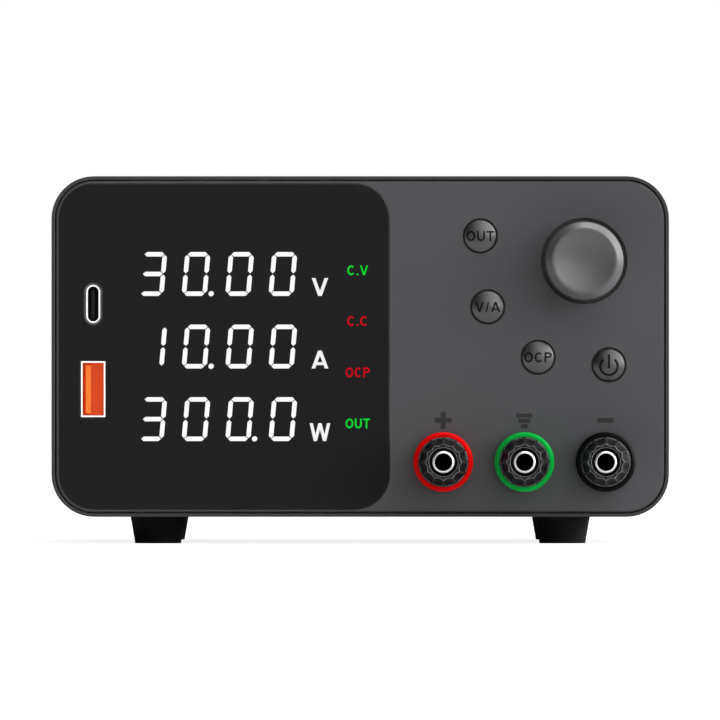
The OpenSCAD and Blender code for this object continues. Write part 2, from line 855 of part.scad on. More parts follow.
module usb_board() {
    color(BOARD_GREEN) on_front(usb_board_x - (usb_a_w - usb_c_w) / 4 + EPS, usb_offset)
        block((usb_a_w - usb_c_w) / 2, usb_c_l - 3, usb_c_depth - 4.6, z = -usb_c_depth);
    color(BOARD_GREEN) translate([usb_board_x, front_y + usb_board_y, mid_z - usb_board_h / 2]) {
        cube([board_t, usb_board_l, usb_board_h]);
        translate([board_t - EPS, 22, 6]) cube([5, 12, 12]);
        translate([board_t - EPS, 14, 24]) cube([1.2, 8, 8]);
        translate([board_t - EPS, 32, 30]) rotate([0, 90, 0]) cylinder(d = 6.3, h = 7);
    }
}

module usb_a_shell() {
    color(NICKEL) on_front(usb_x, -usb_offset) difference() {
        block(usb_a_w, usb_a_l, usb_a_depth, z = -usb_a_depth);
        block(usb_a_w - 2 * usb_shell_t, usb_a_l - 2 * usb_shell_t, usb_a_depth, z = -usb_a_depth - 1);
        block(usb_a_w - 2 * usb_shell_t, usb_a_l - 2 * usb_shell_t, usb_a_depth, z = -usb_a_depth + 1);
    }
}

module usb_a_tongue() {
    in_w = usb_a_w - 2 * usb_shell_t - 0.1;
    in_l = usb_a_l - 2 * usb_shell_t - 0.1;
    color("#e8622a") on_front(usb_x, -usb_offset) {
        block(in_w, in_l, usb_a_depth - 9, z = -usb_a_depth);
        block(tongue_t, in_l - 1, 8.2, x = -in_w / 2 + 0.7 + tongue_t / 2, z = -9 - EPS);
    }
}

module usb_c_shell() {
    color(NICKEL) on_front(usb_x, usb_offset) between(0, usb_c_depth) difference() {
        slot(usb_c_w, usb_c_l);
        slot(usb_c_w - 2 * usb_shell_t, usb_c_l - 2 * usb_shell_t);
    }
}

module usb_c_tongue() {
    color(BLACK) on_front(usb_x, usb_offset) {
        between(5.4, usb_c_depth) slot(usb_c_w - 2 * usb_shell_t - 0.1, usb_c_l - 2 * usb_shell_t - 0.1);
        block(0.7, usb_c_l - 2.4, 5, z = -5.4 - EPS);
    }
}

// Coloured flange with a barrel that keeps the shaft centred in the panel
module post_base(i, tint) {
    color(tint) on_front(post_x - i * post_pitch, post_z) difference() {
        union() {
            cylinder(d = flange_d, h = flange_t - 0.6);
            translate([0, 0, flange_t - 0.6]) cylinder(d1 = flange_d, d2 = flange_d - 1, h = 0.6);
            translate([0, 0, -panel_t + 0.2]) cylinder(d = barrel_d, h = panel_t);
        }
        translate([0, 0, -panel_t]) cylinder(d = post_d + 0.1, h = panel_t + flange_t + 1);
    }
}

// Plated shaft: threaded body, plain nose with the plug socket, flats and a cross hole for a wire
module post_shaft(i) {
    nose = 3;
    color(NICKEL) on_front(post_x - i * post_pitch, post_z) difference() {
        union() {
            translate([0, 0, -tail_l]) cylinder(d = post_d, h = tail_l + post_reach - nose);
            translate([0, 0, post_reach - nose - EPS]) cylinder(d = post_nose_d, h = nose - 0.3);
            translate([0, 0, post_reach - 0.3 - 2 * EPS])
                cylinder(d1 = post_nose_d, d2 = post_nose_d - 0.6, h = 0.3);
        }
        translate([0, 0, post_reach - socket_l]) cylinder(d = socket_d, h = socket_l + 1);
        for (s = [-1, 1]) translate([s * post_d / 2 + (s - 1) / 2 * post_d - s * (post_d - post_flat) / 2,
            -post_d, flange_t - 0.4]) cube([post_d, 2 * post_d, cap_travel + 1.6]);
        translate([0, 0, flange_t + 2]) rotate([90, 0, 0]) cylinder(d = wire_d, h = 20, center = true);
    }
}

// Moulded cap: a short skirt, then a fluted cone down to the front face
module post_cap(i) {
    r = cap_d / 2;
    front_r = cap_front_d / 2;
    cone_from = cap_rear + cap_skirt;
    tilt = atan((r - front_r) / (cap_front - cone_from));
    color(BLACK) on_front(post_x - i * post_pitch, post_z) difference() {
        rotate_extrude() polygon([[0, cap_rear], [r - 0.4, cap_rear], [r, cap_rear + 0.4],
            [r, cone_from], [front_r, cap_front], [0, cap_front]]);
        cylinder(d = post_d + 0.1, h = post_reach + 2);
        cylinder(d = washer_d + 0.3, h = flange_t + washer_gap + washer_t + 0.1);
        translate([0, 0, cap_front - 1]) cylinder(d = post_d + 0.7, h = 2);
        for (k = [0:cap_flutes - 1]) rotate((k + 0.5) * 360 / cap_flutes)
            translate([front_r + 0.62, 0, cap_front]) rotate([0, -tilt, 0])
                cylinder(d = 2.2, h = 2 * (cap_front - cone_from) + 1.4, center = true);
    }
}

module clamp_washer(i) {
    color(NICKEL) on_front(post_x - i * post_pitch, post_z)
        translate([0, 0, flange_t + washer_gap]) difference() {
            cylinder(d = washer_d, h = washer_t);
            intersection() {
                translate([0, 0, -1]) cylinder(d = post_d + 0.2, h = washer_t + 2);
                block(post_flat + 0.2, 2 * post_d, washer_t + 2, z = -1);
            }
        }
}

module post_nuts() {
    color(NICKEL) at_posts() {
        translate([0, 0, -nut_y]) tube(post_hole_d + 2, post_d + 0.1, plate_t);
        for (y = [nut_y, lug_y + plate_t]) translate([0, 0, -y - nut_t]) difference() {
            cylinder(d = nut_w / cos(30), h = nut_t, $fn = 6);
            translate([0, 0, -1]) cylinder(d = post_d + 0.1, h = nut_t + 2);
        }
    }
}

// Appliance inlet: flange, body, socket cavity with cut corners, and a bay for the fuse drawer
module mains_inlet() {
    color(BLACK) on_rear(inlet_x, -inlet_drop) difference() {
        union() {
            linear_extrude(inlet_flange_t) round_rect(inlet_w + 4, inlet_h + 4, 2);
            block(inlet_w, inlet_h, inlet_d, z = EPS - inlet_d);
        }
        translate([0, -socket_drop, inlet_flange_t - socket_deep]) linear_extrude(socket_deep + 1)
            polygon(socket_points());
        inlet_blades(0.1);
        translate([0, drawer_rise, inlet_flange_t - drawer_l - 1])
            block(drawer_w, drawer_h + 2 * drawer_gap, drawer_l + 2);
    }
}

function socket_points() = let (w = socket_w / 2, h = socket_h / 2, c = 4.5)
    [[-w, -h], [w, -h], [w, h - c], [w - c, h], [c - w, h], [-w, h - c]];

// Earth, live and neutral blades, with their tabs behind the inlet
module inlet_blades(gap) {
    for (p = [[0, 2.1], [-7, -2.1], [7, -2.1]])
        block(2 + 2 * gap, 4 + 2 * gap, inlet_d + 8 - 2, x = p[0], y = p[1] - socket_drop, z = -inlet_d - 8);
}

module inlet_pins() {
    color(NICKEL) on_rear(inlet_x, -inlet_drop) inlet_blades(0);
}

module fuse_drawer() {
    seat = inlet_flange_t + drawer_lift;
    color("#1c1c1e") on_rear(inlet_x, -inlet_drop + drawer_rise) difference() {
        union() {
            block(drawer_w - 2 * drawer_gap, drawer_h, drawer_face_t, z = seat);
            block(drawer_w - 2 * drawer_gap, drawer_h, drawer_l, z = seat + EPS - drawer_l);
        }
        fuse_space(0.15);
        block(10, 1.4, drawer_face_t, z = rear_reach - 0.7);
    }
}

module fuse_space(gap) {
    translate([0, 0, inlet_flange_t - 12]) {
        rotate([0, 90, 0]) cylinder(d = fuse_d + 2 * gap, h = fuse_l + 2 * gap, center = true);
        if (gap > 0) block(fuse_l + 2 * gap, drawer_h, fuse_d + 2 * gap,
            y = drawer_h / 2, z = -fuse_d / 2 - gap);
    }
}

module fuse() {
    color("#c8d4d8") on_rear(inlet_x, -inlet_drop + drawer_rise) fuse_space(0);
}

module selector_body() {
    color(BLACK) on_rear(inlet_x, selector_rise) difference() {
        union() {
            linear_extrude(1) round_rect(selector_w + 3, selector_h + 3, 1);
            block(selector_w, selector_h, selector_d, z = EPS - selector_d);
        }
        block(slider_w + selector_travel + 0.6, slider_h + 0.4, 5, z = -3.2);
    }
}

module selector_slider() {
    color("#c3211d") on_rear(inlet_x - selector_travel / 2, selector_rise) difference() {
        block(slider_w, slider_h, 3.4, z = -3);
        block(1.2, slider_h - 1.6, 2, z = -0.8);
    }
}

module fan_frame() {
    strut_t = 2.4;
    color("#1b1b1d") on_rear(fan_x) translate([0, 0, -rear_t - fan_t]) {
        difference() {
            linear_extrude(fan_t) round_rect(fan_size, fan_size, 4);
            translate([0, 0, -1]) cylinder(d = fan_bore, h = fan_t + 2);
            at_corners(fan_hole, fan_hole) translate([0, 0, -1]) cylinder(d = tapped_d, h = fan_t + 2);
        }
        linear_extrude(strut_t) {
            circle(d = hub_d + 2);
            for (a = [30, 150, 270]) rotate(a) translate([0, -2]) square([fan_bore / 2 + 1, 4]);
        }
        translate([0, 0, strut_t - EPS]) cylinder(d = 4, h = fan_t - strut_t - 5);
    }
}

// One pitched blade: a curved sheet rooted in the hub's wall and trimmed to the fan's bore
module fan_blade(h) {
    bend = 22;
    sheet = 1.2;
    intersection() {
        translate([0, 0, 0.6]) cylinder(r = fan_bore / 2 - 1, h = h - 1.2);
        translate([hub_d / 2 - 2.4, 0, h / 2]) rotate([48, 0, 0]) translate([0, 0, -bend])
            rotate([90, 0, 90]) linear_extrude(fan_bore / 2) difference() {
                circle(bend + sheet / 2);
                circle(bend - sheet / 2);
                translate([-40, -68]) square([80, 80]);
            }
    }
}

module fan_rotor() {
    base = 3.2;
    h = fan_t - base - 1;
    color("#1b1b1d") on_rear(fan_x) translate([0, 0, -rear_t - fan_t + base]) {
        difference() {
            cylinder(d = hub_d, h = h);
            translate([0, 0, -1]) cylinder(d = hub_d - 5, h = h - 0.6);
        }
        difference() {
            translate([0, 0, 2]) cylinder(d = 7, h = h - 2.6);
            translate([0, 0, 1]) cylinder(d = 4.1, h = h - 3);
        }
        for (i = [0:fan_blades - 1]) rotate(i * 360 / fan_blades) fan_blade(h);
    }
}

module main_board() {
    color(BOARD_GREEN) difference() {
        translate([-main_w / 2, main_y, main_z]) cube([main_w, main_l, board_t]);
        at_standoffs() translate([0, 0, standoff_h - 1]) cylinder(d = clear_d, h = board_t + 3);
    }
}

module transformer_core() {
    window = core_w / 2 - core_leg - 6;
    color("#2e2e30") translate([core_x, core_y, main_top + core_lift]) difference() {
        translate([-core_w / 2, -core_depth / 2, 0]) cube([core_w, core_depth, core_h]);
        for (s = [-1, 1]) translate([s * (core_leg + window / 2 - 0.35) - window / 2, -core_depth, core_leg])
            cube([window, 2 * core_depth, core_h - 2 * core_leg]);
    }
}

// Taped coil round the middle leg, on a bobbin with two feet
module transformer_winding() {
    gap = 0.2;
    room = core_h - 2 * (core_leg + gap);
    leg_w = 2 * core_leg - 0.7 + gap;
    rise = core_lift + core_leg + gap;
    color("#d8a92c") translate([core_x, core_y, main_top + rise]) linear_extrude(room) difference() {
        round_rect(core_w - 2 * core_leg + 2, winding_depth, 5);
        square([leg_w, core_depth + gap], center = true);
        for (s = [-1, 1]) translate([s * core_w / 2, 0])
            square([2 * core_leg + 1, core_depth + 2 * gap], center = true);
    }
    color("#1d1d1f") translate([core_x, core_y, main_top]) for (s = [-1, 1])
        translate([-core_w / 2 + core_leg, s * (core_depth / 2 + gap + 3) - 3, 0])
            cube([core_w - 2 * core_leg, 6, rise + EPS]);
}

// Extruded aluminium comb: a back plate with straight fins
module sink_profile(l) {
    fins = 8;
    square([sink_wall, l]);
    for (i = [0:fins - 1]) translate([sink_wall - 0.1, i * (l - sink_fin_t) / (fins - 1)])
        square([sink_fin, sink_fin_t]);
}

module heatsinks() {
    color("#a9acb0") for (side = [-1, 1])
        translate([side * (main_w / 2 - sink_edge), main_y + (sink_from + sink_to) / 2, main_top])
            rotate(90 - side * 90) translate([0, -sink_l / 2, 0])
                linear_extrude(sink_h) sink_profile(sink_l);
}

module can(d, h) {
    groove = 0.8;
    cylinder(d = d, h = h * 0.86);
    translate([0, 0, h * 0.86 - EPS]) cylinder(d = d - 1.2, h = groove);
    translate([0, 0, h * 0.86 + groove - 2 * EPS]) cylinder(d = d, h = h * 0.14 - groove);
}

module capacitors() {
    edge = 5;
    color("#26344a") {
        for (i = [0, 1]) translate([-main_w / 2 + edge + cap_body_d / 2 + i * (cap_body_d + 2),
            main_y + edge + cap_body_d / 2 - 0.5, main_top]) can(cap_body_d, cap_body_h);
        for (i = [0:2]) translate([small_can_x, main_y + small_can_from + i * small_can_pitch, main_top])
            can(small_can_d, small_can_h);
    }
}

// Flat cable from the control board's header down to the main board
module ribbon_cable() {
    y0 = front_y + board_y + board_t;
    z0 = mid_z - case_h / 2 + 28;
    w = 22;
    color("#8f9296") translate([-8, 0, 0]) rotate([90, 0, 90]) linear_extrude(w) polygon([
        [y0 + 0.1, z0], [y0 + 0.1, z0 + 5], [y0 + 6, z0 + 5], [y0 + 6, z0 + 3], [y0 + 14, z0 + 3],
        [main_y + 5.2, main_top + 8.9], [main_y + 5.2, main_top + 8], [main_y + 8, main_top + 8],
        [main_y + 8, main_top], [main_y + 2, main_top], [main_y + 2, main_top + 8],
        [main_y + 4, main_top + 8], [y0 + 13.6, z0 + 2], [y0 + 6, z0 + 2], [y0 + 6, z0]]);
}

// A wire through a list of points, with a ball at each bend
module wire(points, d) {
    for (i = [0:len(points) - 2]) {
        v = points[i + 1] - points[i];
        l = norm(v);
        translate(points[i]) rotate([0, acos(v[2] / l), atan2(v[1], v[0])]) cylinder(d = d, h = l);
        if (i > 0) translate(points[i]) sphere(d = d + 0.3);
    }
}

module output_leads() {
    tints = ["#17171a", "#0b9946", "#cf0808"];
    wire_od = 3;
    for (i = [0:2]) {
        x = post_x - i * post_pitch;
        y = front_y + lug_y + plate_t / 2;
        z = mid_z + post_z;
        color(tints[i]) {
            on_front(x, post_z) translate([0, 0, -lug_y - plate_t]) {
                tube(nut_w, post_d + 0.1, plate_t);
                block(4, 4, plate_t, y = -nut_w / 2 - 1.6);
            }
            wire([[x, y, z - nut_w / 2 - 1.2], [x, y, z - 7.6], [x, y + 22, z - 7.6],
                [x * 0.5 + 12, main_y + 8, main_top + 6], [x * 0.5 + 12, main_y + 8, main_top]], wire_od);
        }
    }
}

top_cover();
bottom_tray();
rear_panel();
front_panel();
display_window();
case_screws();
panel_screws();
foot(-1, 0);  // foot_front_left
foot(1, 0);  // foot_front_right
foot(-1, 1);  // foot_rear_left
foot(1, 1);  // foot_rear_right
foot_screws();
display_module(1);  // voltage_display
display_module(0);  // current_display
display_module(-1);  // power_display
indicator_lights();
control_board();
out_button();
select_button();
limit_button();
power_button();
tact_switches();
power_switch();
encoder_body();
encoder_rotor();
encoder_shaft();
knob();
usb_board();
usb_a_shell();
usb_a_tongue();
usb_c_shell();
usb_c_tongue();
post_base(0, "#111113");  // black_post_base
post_base(1, "#0b9946");  // green_post_base
post_base(2, "#cf0808");  // red_post_base
post_shaft(0);  // black_post_shaft
post_shaft(1);  // green_post_shaft
post_shaft(2);  // red_post_shaft
post_cap(0);  // black_post_cap
post_cap(1);  // green_post_cap
post_cap(2);  // red_post_cap
clamp_washer(0);  // black_clamp_washer
clamp_washer(1);  // green_clamp_washer
clamp_washer(2);  // red_clamp_washer
post_nuts();
mains_inlet();
inlet_pins();
fuse_drawer();
fuse();
selector_body();
selector_slider();
fan_frame();
fan_rotor();
main_board();
transformer_core();
transformer_winding();
heatsinks();
capacitors();
ribbon_cable();
output_leads();
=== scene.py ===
# %% [markdown]
# A bench power supply, seen head-on. The solids come from the CAD model and keep their meshes,
# so this lesson is mostly about finishes, light and the small things that the solids leave out:
# the lit digits, the printed legends, the sunken labels of the buttons and the fluted caps.
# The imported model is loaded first, because its box is the size that the pictured object keeps.

# %% Load the frame
import json
import math

import bmesh
import bpy
from mathutils import Matrix, Vector


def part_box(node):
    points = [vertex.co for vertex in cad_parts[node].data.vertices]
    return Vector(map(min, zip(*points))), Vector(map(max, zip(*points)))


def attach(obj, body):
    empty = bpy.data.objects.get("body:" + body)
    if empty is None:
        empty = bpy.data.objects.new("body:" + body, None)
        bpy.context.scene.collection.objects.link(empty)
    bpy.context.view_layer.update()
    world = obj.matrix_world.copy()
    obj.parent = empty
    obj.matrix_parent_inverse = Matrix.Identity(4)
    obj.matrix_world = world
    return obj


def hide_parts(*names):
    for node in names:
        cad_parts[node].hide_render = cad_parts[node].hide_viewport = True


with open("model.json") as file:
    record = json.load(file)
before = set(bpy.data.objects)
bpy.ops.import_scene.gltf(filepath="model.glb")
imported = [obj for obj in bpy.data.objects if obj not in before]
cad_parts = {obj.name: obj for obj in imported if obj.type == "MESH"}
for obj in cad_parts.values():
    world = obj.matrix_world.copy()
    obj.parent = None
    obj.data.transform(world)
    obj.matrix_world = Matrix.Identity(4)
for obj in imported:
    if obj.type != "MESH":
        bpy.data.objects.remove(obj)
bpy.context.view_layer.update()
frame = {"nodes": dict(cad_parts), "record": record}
MM = 0.001

# %% [markdown]
# Every place on the front is counted from two planes of the real object: the front plane of the
# case, and the level halfway up its front. Reading them from the solids' own boxes keeps the
# added pieces right if the case changes.

# %% Planes of the front
case_low, case_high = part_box("top_cover")
tray_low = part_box("bottom_tray")[0]
FRONT = case_low.y
MIDDLE = (case_high.z + tray_low.z) / 2
print("front plane", round(FRONT / MM, 2), "mm, middle", round(MIDDLE / MM, 2), "mm")


def centre_of(node):
    """Across and up of a node's centre, and how far its front stands out, all in millimetres."""
    low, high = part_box(node)
    return (low.x + high.x) / 2 / MM, (low.z + high.z) / 2 / MM, (FRONT - low.y) / MM


# %% [markdown]
# The photograph is a catalogue picture with almost no perspective, so the camera stands 7.7 m
# away with a very long lens. Sensor width over lens length, times the distance, is the width
# seen at the front plane: 169.1 mm, which is 720 pixels at 0.235 mm each.

# %% Camera
LENS = 1650.0
SENSOR = 36.0
VIEW_WIDTH = 169.06
distance = VIEW_WIDTH * LENS / SENSOR * MM
camera_data = bpy.data.cameras.new("Catalogue camera")
camera_data.lens = LENS
camera_data.sensor_width = SENSOR
camera_data.clip_start = 0.1
camera_data.clip_end = 60.0
camera = bpy.data.objects.new("Catalogue camera", camera_data)
camera.location = (-0.05 * MM, FRONT - distance, MIDDLE - 3.16 * MM)
camera.rotation_euler = (math.radians(90), 0, 0)
bpy.context.scene.collection.objects.link(camera)
bpy.context.scene.camera = camera
bpy.context.scene.view_settings.view_transform = "Standard"
print("camera distance", round(distance, 3), "m")

# %% [markdown]
# Materials are node trees. One small helper adds a node, fills its sockets and links what is
# given as another node or its output, so that a finish reads as a list of what it is made of.
# Colours are written as the sRGB hex values that a paint chart would give, and one function
# turns them into the linear values that the renderer works with.

# %% Node and colour helpers
def srgb(code):
    """Linear red, green, blue and alpha of a hex colour such as #525154."""
    parts = [int(code[i:i + 2], 16) / 255 for i in (1, 3, 5)]
    return [c / 12.92 if c <= 0.04045 else ((c + 0.055) / 1.055) ** 2.4 for c in parts] + [1.0]


def add(tree, kind, sockets=(), **settings):
    """Adds a node. Its sockets are filled by name, or in order from a list, with a value, with
    an output, or with a node, which stands for its first output."""
    node = tree.nodes.new(kind)
    for key, value in settings.items():
        setattr(node, key, value)
    for key, value in sockets.items() if isinstance(sockets, dict) else enumerate(sockets):
        if isinstance(value, bpy.types.Node):
            value = value.outputs[0]
        if isinstance(value, bpy.types.NodeSocket):
            tree.links.new(value, node.inputs[key])
        else:
            node.inputs[key].default_value = value
    return node


print("panel grey in linear values:", [round(c, 3) for c in srgb("#525154")[:3]])

# %% [markdown]
# A real moulding or sheet never has the knife edge of a CAD solid. The Bevel node bends the
# shading normal over a fraction of a millimetre, so every edge catches a thin line of light
# without a single new face. On top of it comes the surface's own relief: noise in Object
# coordinates, with its grain size given in millimetres, feeds a Bump node.

# %% Start of every finish
def empty_material(name):
    """A material without nodes, and its tree."""
    material = bpy.data.materials.new(name)
    material.use_nodes = True
    material.node_tree.nodes.clear()
    return material, material.node_tree


def begin_finish(name, colour, roughness, edge=0.15, metallic=0.0, specular=0.5, **sockets):
    """A material with its shader, its place on the object in metres, and softened edges."""
    material, tree = empty_material(name)
    place = add(tree, "ShaderNodeTexCoord").outputs["Object"]
    rounded = add(tree, "ShaderNodeBevel", {"Radius": edge * MM}, samples=4)
    shader = add(tree, "ShaderNodeBsdfPrincipled", {
        "Base Color": srgb(colour), "Roughness": roughness, "Metallic": metallic,
        "Specular IOR Level": specular, "Normal": rounded})
    for key, value in sockets.items():
        shader.inputs[key.replace("_", " ")].default_value = value
    add(tree, "ShaderNodeOutputMaterial", {"Surface": shader})
    return material, tree, place, shader


def bump(tree, shader, height, depth):
    """Raises the surface by a height between 0 and 1, times a depth in millimetres."""
    before = shader.inputs["Normal"].links[0].from_socket
    bent = add(tree, "ShaderNodeBump", {"Height": height, "Distance": depth * MM, "Normal": before})
    tree.links.new(bent.outputs["Normal"], shader.inputs["Normal"])


def relief(tree, place, shader, grain, depth):
    """Fine bumps on the finish: grain and depth in millimetres."""
    noise = add(tree, "ShaderNodeTexNoise", {
        "Vector": place, "Scale": 1 / (grain * MM), "Detail": 2.0, "Roughness": 0.5})
    bump(tree, shader, noise, depth)


def blend_colours(tree, factor, first, second):
    """A colour between two others. Each is a hex code or an output."""
    mix = add(tree, "ShaderNodeMix", {"Factor": factor}, data_type="RGBA")
    for socket, colour in zip([s for s in mix.inputs if s.type == "RGBA"], (first, second)):
        if isinstance(colour, str):
            socket.default_value = srgb(colour)
        else:
            tree.links.new(colour, socket)
    return next(s for s in mix.outputs if s.type == "RGBA")


def cloud(tree, place, shader, size, dark, light, socket="Roughness"):
    """Slow change of one value or colour over the surface, as handling and cooling leave it."""
    noise = add(tree, "ShaderNodeTexNoise", {
        "Vector": place, "Scale": 1 / (size * MM), "Detail": 3.0, "Roughness": 0.6})
    if socket == "Base Color":
        varied = blend_colours(tree, noise, dark, light)
    else:
        varied = add(tree, "ShaderNodeMapRange", {
            "Value": noise, "From Min": 0.3, "From Max": 0.7, "To Min": dark, "To Max": light}).outputs[0]
    tree.links.new(varied, shader.inputs[socket])


def painted_edge_highlight(tree, shader, colour, width):
    """Painted highlight: a lighter colour where the Bevel node bends the normal off the face's own."""
    bent = add(tree, "ShaderNodeBevel", {"Radius": width * MM}, samples=8)
    straight = add(tree, "ShaderNodeNewGeometry")
    same = add(tree, "ShaderNodeVectorMath", [bent, straight.outputs["True Normal"]],
               operation="DOT_PRODUCT")
    highlight_mask = add(tree, "ShaderNodeMapRange", {
        "Value": same.outputs["Value"], "From Min": 0.96, "From Max": 0.86})
    socket = shader.inputs["Base Color"]
    tree.links.new(blend_colours(tree, highlight_mask, socket.links[0].from_socket, colour), socket)


finishes = {}

# %% [markdown]
# The case is mild steel sheet with a fine-texture powder coat. The powder melts into pimples
# about 0.4 mm across and some hundredths of a millimetre high. The eye sees a dark satin surface
# with a soft, slightly sparkling highlight and no mirror image at all.

# %% Powder-coated steel
material, tree, place, shader = begin_finish(
    "Powder coated steel sheet", "#323234", 0.5, edge=0.3, specular=0.2)
cloud(tree, place, shader, 30, "#323234", "#38383a", "Base Color")
relief(tree, place, shader, grain=0.45, depth=0.035)
finishes["black_steel"] = material
print(material.name, "ready")

# %% [markdown]
# The front panel, the buttons and the knob are injection-moulded ABS. The panel's steel mould
# was spark eroded, which prints a very fine matt grain of about 0.15 mm; that grain is too fine
# to show from here, so it is drawn at 0.3 mm. A grain so fine hides most of the mirror image,
# so the panel, like the powder coat, gets a specular level below the usual 0.5. Knob and buttons
# come from polished moulds, so theirs is raised, which draws a bright rim on the side of the key
# light.

# %% Moulded ABS
def moulded(name, dark, light, roughness, grain=0.3, depth=0.008, edge=0.15, size=25, **sockets):
    """Moulded plastic: a small drift of colour, a drift of gloss and the mould's grain."""
    material, tree, place, shader = begin_finish(name, dark, roughness, edge, **sockets)
    cloud(tree, place, shader, size, dark, light, "Base Color")
    cloud(tree, place, shader, size * 0.6, roughness - 0.04, roughness + 0.05)
    relief(tree, place, shader, grain, depth)
    return material


SATIN = 0.003
finishes["grey_abs"] = moulded("Spark eroded grey ABS", "#404143", "#444446", 0.55, specular=0.3)
finishes["knob_abs"] = moulded(
    "Satin grey ABS of the knob", "#48484a", "#4d4d4f", 0.36, depth=SATIN, specular=0.6)
finishes["dark_abs"] = moulded(
    "Satin dark ABS of the power button", "#141416", "#18181a", 0.3, depth=SATIN, specular=0.9)
button_abs = moulded(
    "Satin grey ABS of the small buttons", "#262628", "#2a2a2c", 0.3, depth=SATIN, specular=0.9)
print(len(finishes), "finishes so far")

# %% [markdown]
# The window is polished smoked acrylic over white digits: almost black, with a mirror gloss
# and a refractive index of 1.49. Its face is so flat that only dust and the slightest waviness
# disturb the reflection, so its relief is centimetres wide and less than a hundredth deep.

# %% Smoked acrylic window
material, tree, place, shader = begin_finish(
    "Polished smoked acrylic", "#202021", 0.06, edge=0.25, specular=0.35, IOR=1.49)
cloud(tree, place, shader, 12, 0.045, 0.085)
relief(tree, place, shader, grain=18, depth=0.003)
finishes["window_acrylic"] = material
print(material.name, "ready")

# %% [markdown]
# The terminals' flanges and caps are nylon, coloured right through. Nylon flows well, so its
# surface is smoother than that of the ABS, with a soft waviness where it shrank while cooling.
# The large port's orange nylon gets a painted glow: its deeper parts give their own light, which lifts
# the shade of the deep port. The picture shows its colours pure and its blacks deep, as a polarising
# filter does, so these finishes get a specular level far below the usual one.

# %% Glossy and matt nylon
finishes["red_nylon"] = moulded(
    "Red nylon flange", "#dc0001", "#e40203", 0.35, grain=0.8, depth=0.004, specular=0.06)
finishes["green_nylon"] = moulded(
    "Green nylon flange", "#07a83d", "#09b044", 0.35, grain=0.8, depth=0.004, specular=0.06)
finishes["black_post_nylon"] = moulded(
    "Black nylon flange", "#030303", "#060606", 0.35, grain=0.8, depth=0.006, edge=0.12, specular=0.06)
finishes["black_nylon"] = moulded(
    "Glass filled black nylon", "#131314", "#1a1a1b", 0.5, grain=0.5, depth=0.01)
finishes["slider_nylon"] = moulded("Red nylon slider", "#b3201b", "#c0261f", 0.35, grain=0.6)
material, tree, place, shader = begin_finish(
    "Orange nylon with painted glow", "#f26a20", 0.4, edge=0.1, Emission_Color=srgb("#d8500c"))
cloud(tree, place, shader, 5, "#fa6a04", "#ff7408", "Base Color")
relief(tree, place, shader, grain=0.4, depth=0.005)
# Painted glow: the orange nylon gives its own light from 2 mm behind the front plane, at full strength
# from 4 mm, to lift the shade of the deep port.
PAINTED_GLOW, PAINTED_GLOW_STARTS, PAINTED_GLOW_FULL = 0.17, 2.0, 4.0
painted_glow_by_depth = add(tree, "ShaderNodeMapRange", {
    "Value": add(tree, "ShaderNodeSeparateXYZ", {"Vector": place}).outputs["Y"],
    "From Min": FRONT + PAINTED_GLOW_STARTS * MM, "From Max": FRONT + PAINTED_GLOW_FULL * MM, "To Max": PAINTED_GLOW})
tree.links.new(painted_glow_by_depth.outputs["Result"], shader.inputs["Emission Strength"])
finishes["orange_nylon"] = material
port_nylon = moulded("Black nylon tongue", "#0b0b0c", "#101011", 0.5, grain=0.5, specular=0.15)
finishes["switch_plastic"] = moulded("Black switch moulding", "#222223", "#29292a", 0.45, grain=0.5)
finishes["foot_rubber"] = moulded(
    "Moulded black rubber", "#1c1c1d", "#212122", 0.8, grain=0.35, depth=0.02, specular=0.12)
print(len(finishes), "finishes so far")

# %% [markdown]
# Nickel plate is a mirror that has grown a little dull. A metal keeps the default refractive
# index; the look comes from its warm white colour, a low roughness and faint turning marks.
# Rolled steel shells are the same plate over a rougher sheet.

# %% Plated metals
def plated(name, dark, light, roughness, grain=1.5, depth=0.003, edge=0.1):
    """Plated or bare metal with a little tarnish and fine working marks."""
    material, tree, place, shader = begin_finish(name, dark, roughness, edge, metallic=1.0)
    cloud(tree, place, shader, 6, dark, light, "Base Color")
    cloud(tree, place, shader, 3, roughness - 0.04, roughness + 0.06)
    relief(tree, place, shader, grain, depth)
    return material


finishes["nickel_plate"] = plated("Bright nickel plate", "#e8e6e1", "#f4f2ee", 0.32)
finishes["port_steel"] = plated(
    "Nickel plated steel shell", "#fafafa", "#ffffff", 0.48, depth=0.001, edge=0.01)
finishes["nickel_screws"] = plated("Nickel plated screws", "#cfccc4", "#dddad2", 0.25)
finishes["black_screws"] = plated("Black oxide screws", "#262628", "#323234", 0.38)
finishes["zinc_die_cast"] = plated("Zinc die casting", "#a9abae", "#b9bbbe", 0.45, grain=0.6, depth=0.01)
finishes["rotor_brass"] = plated("Stamped brass", "#c4a65a", "#d4b868", 0.3)
finishes["sink_aluminium"] = plated(
    "Extruded aluminium", "#b3b6ba", "#c4c7cb", 0.35, grain=0.8, depth=0.006)
print(len(finishes), "finishes so far")

# %% [markdown]
# What lies inside the case shows only through the vents and the fan's guard, but it gets its
# own finishes too: green solder mask, sintered ferrite, yellow winding tape, shrink sleeve,
# vinyl wire, potted displays and frosted lights.

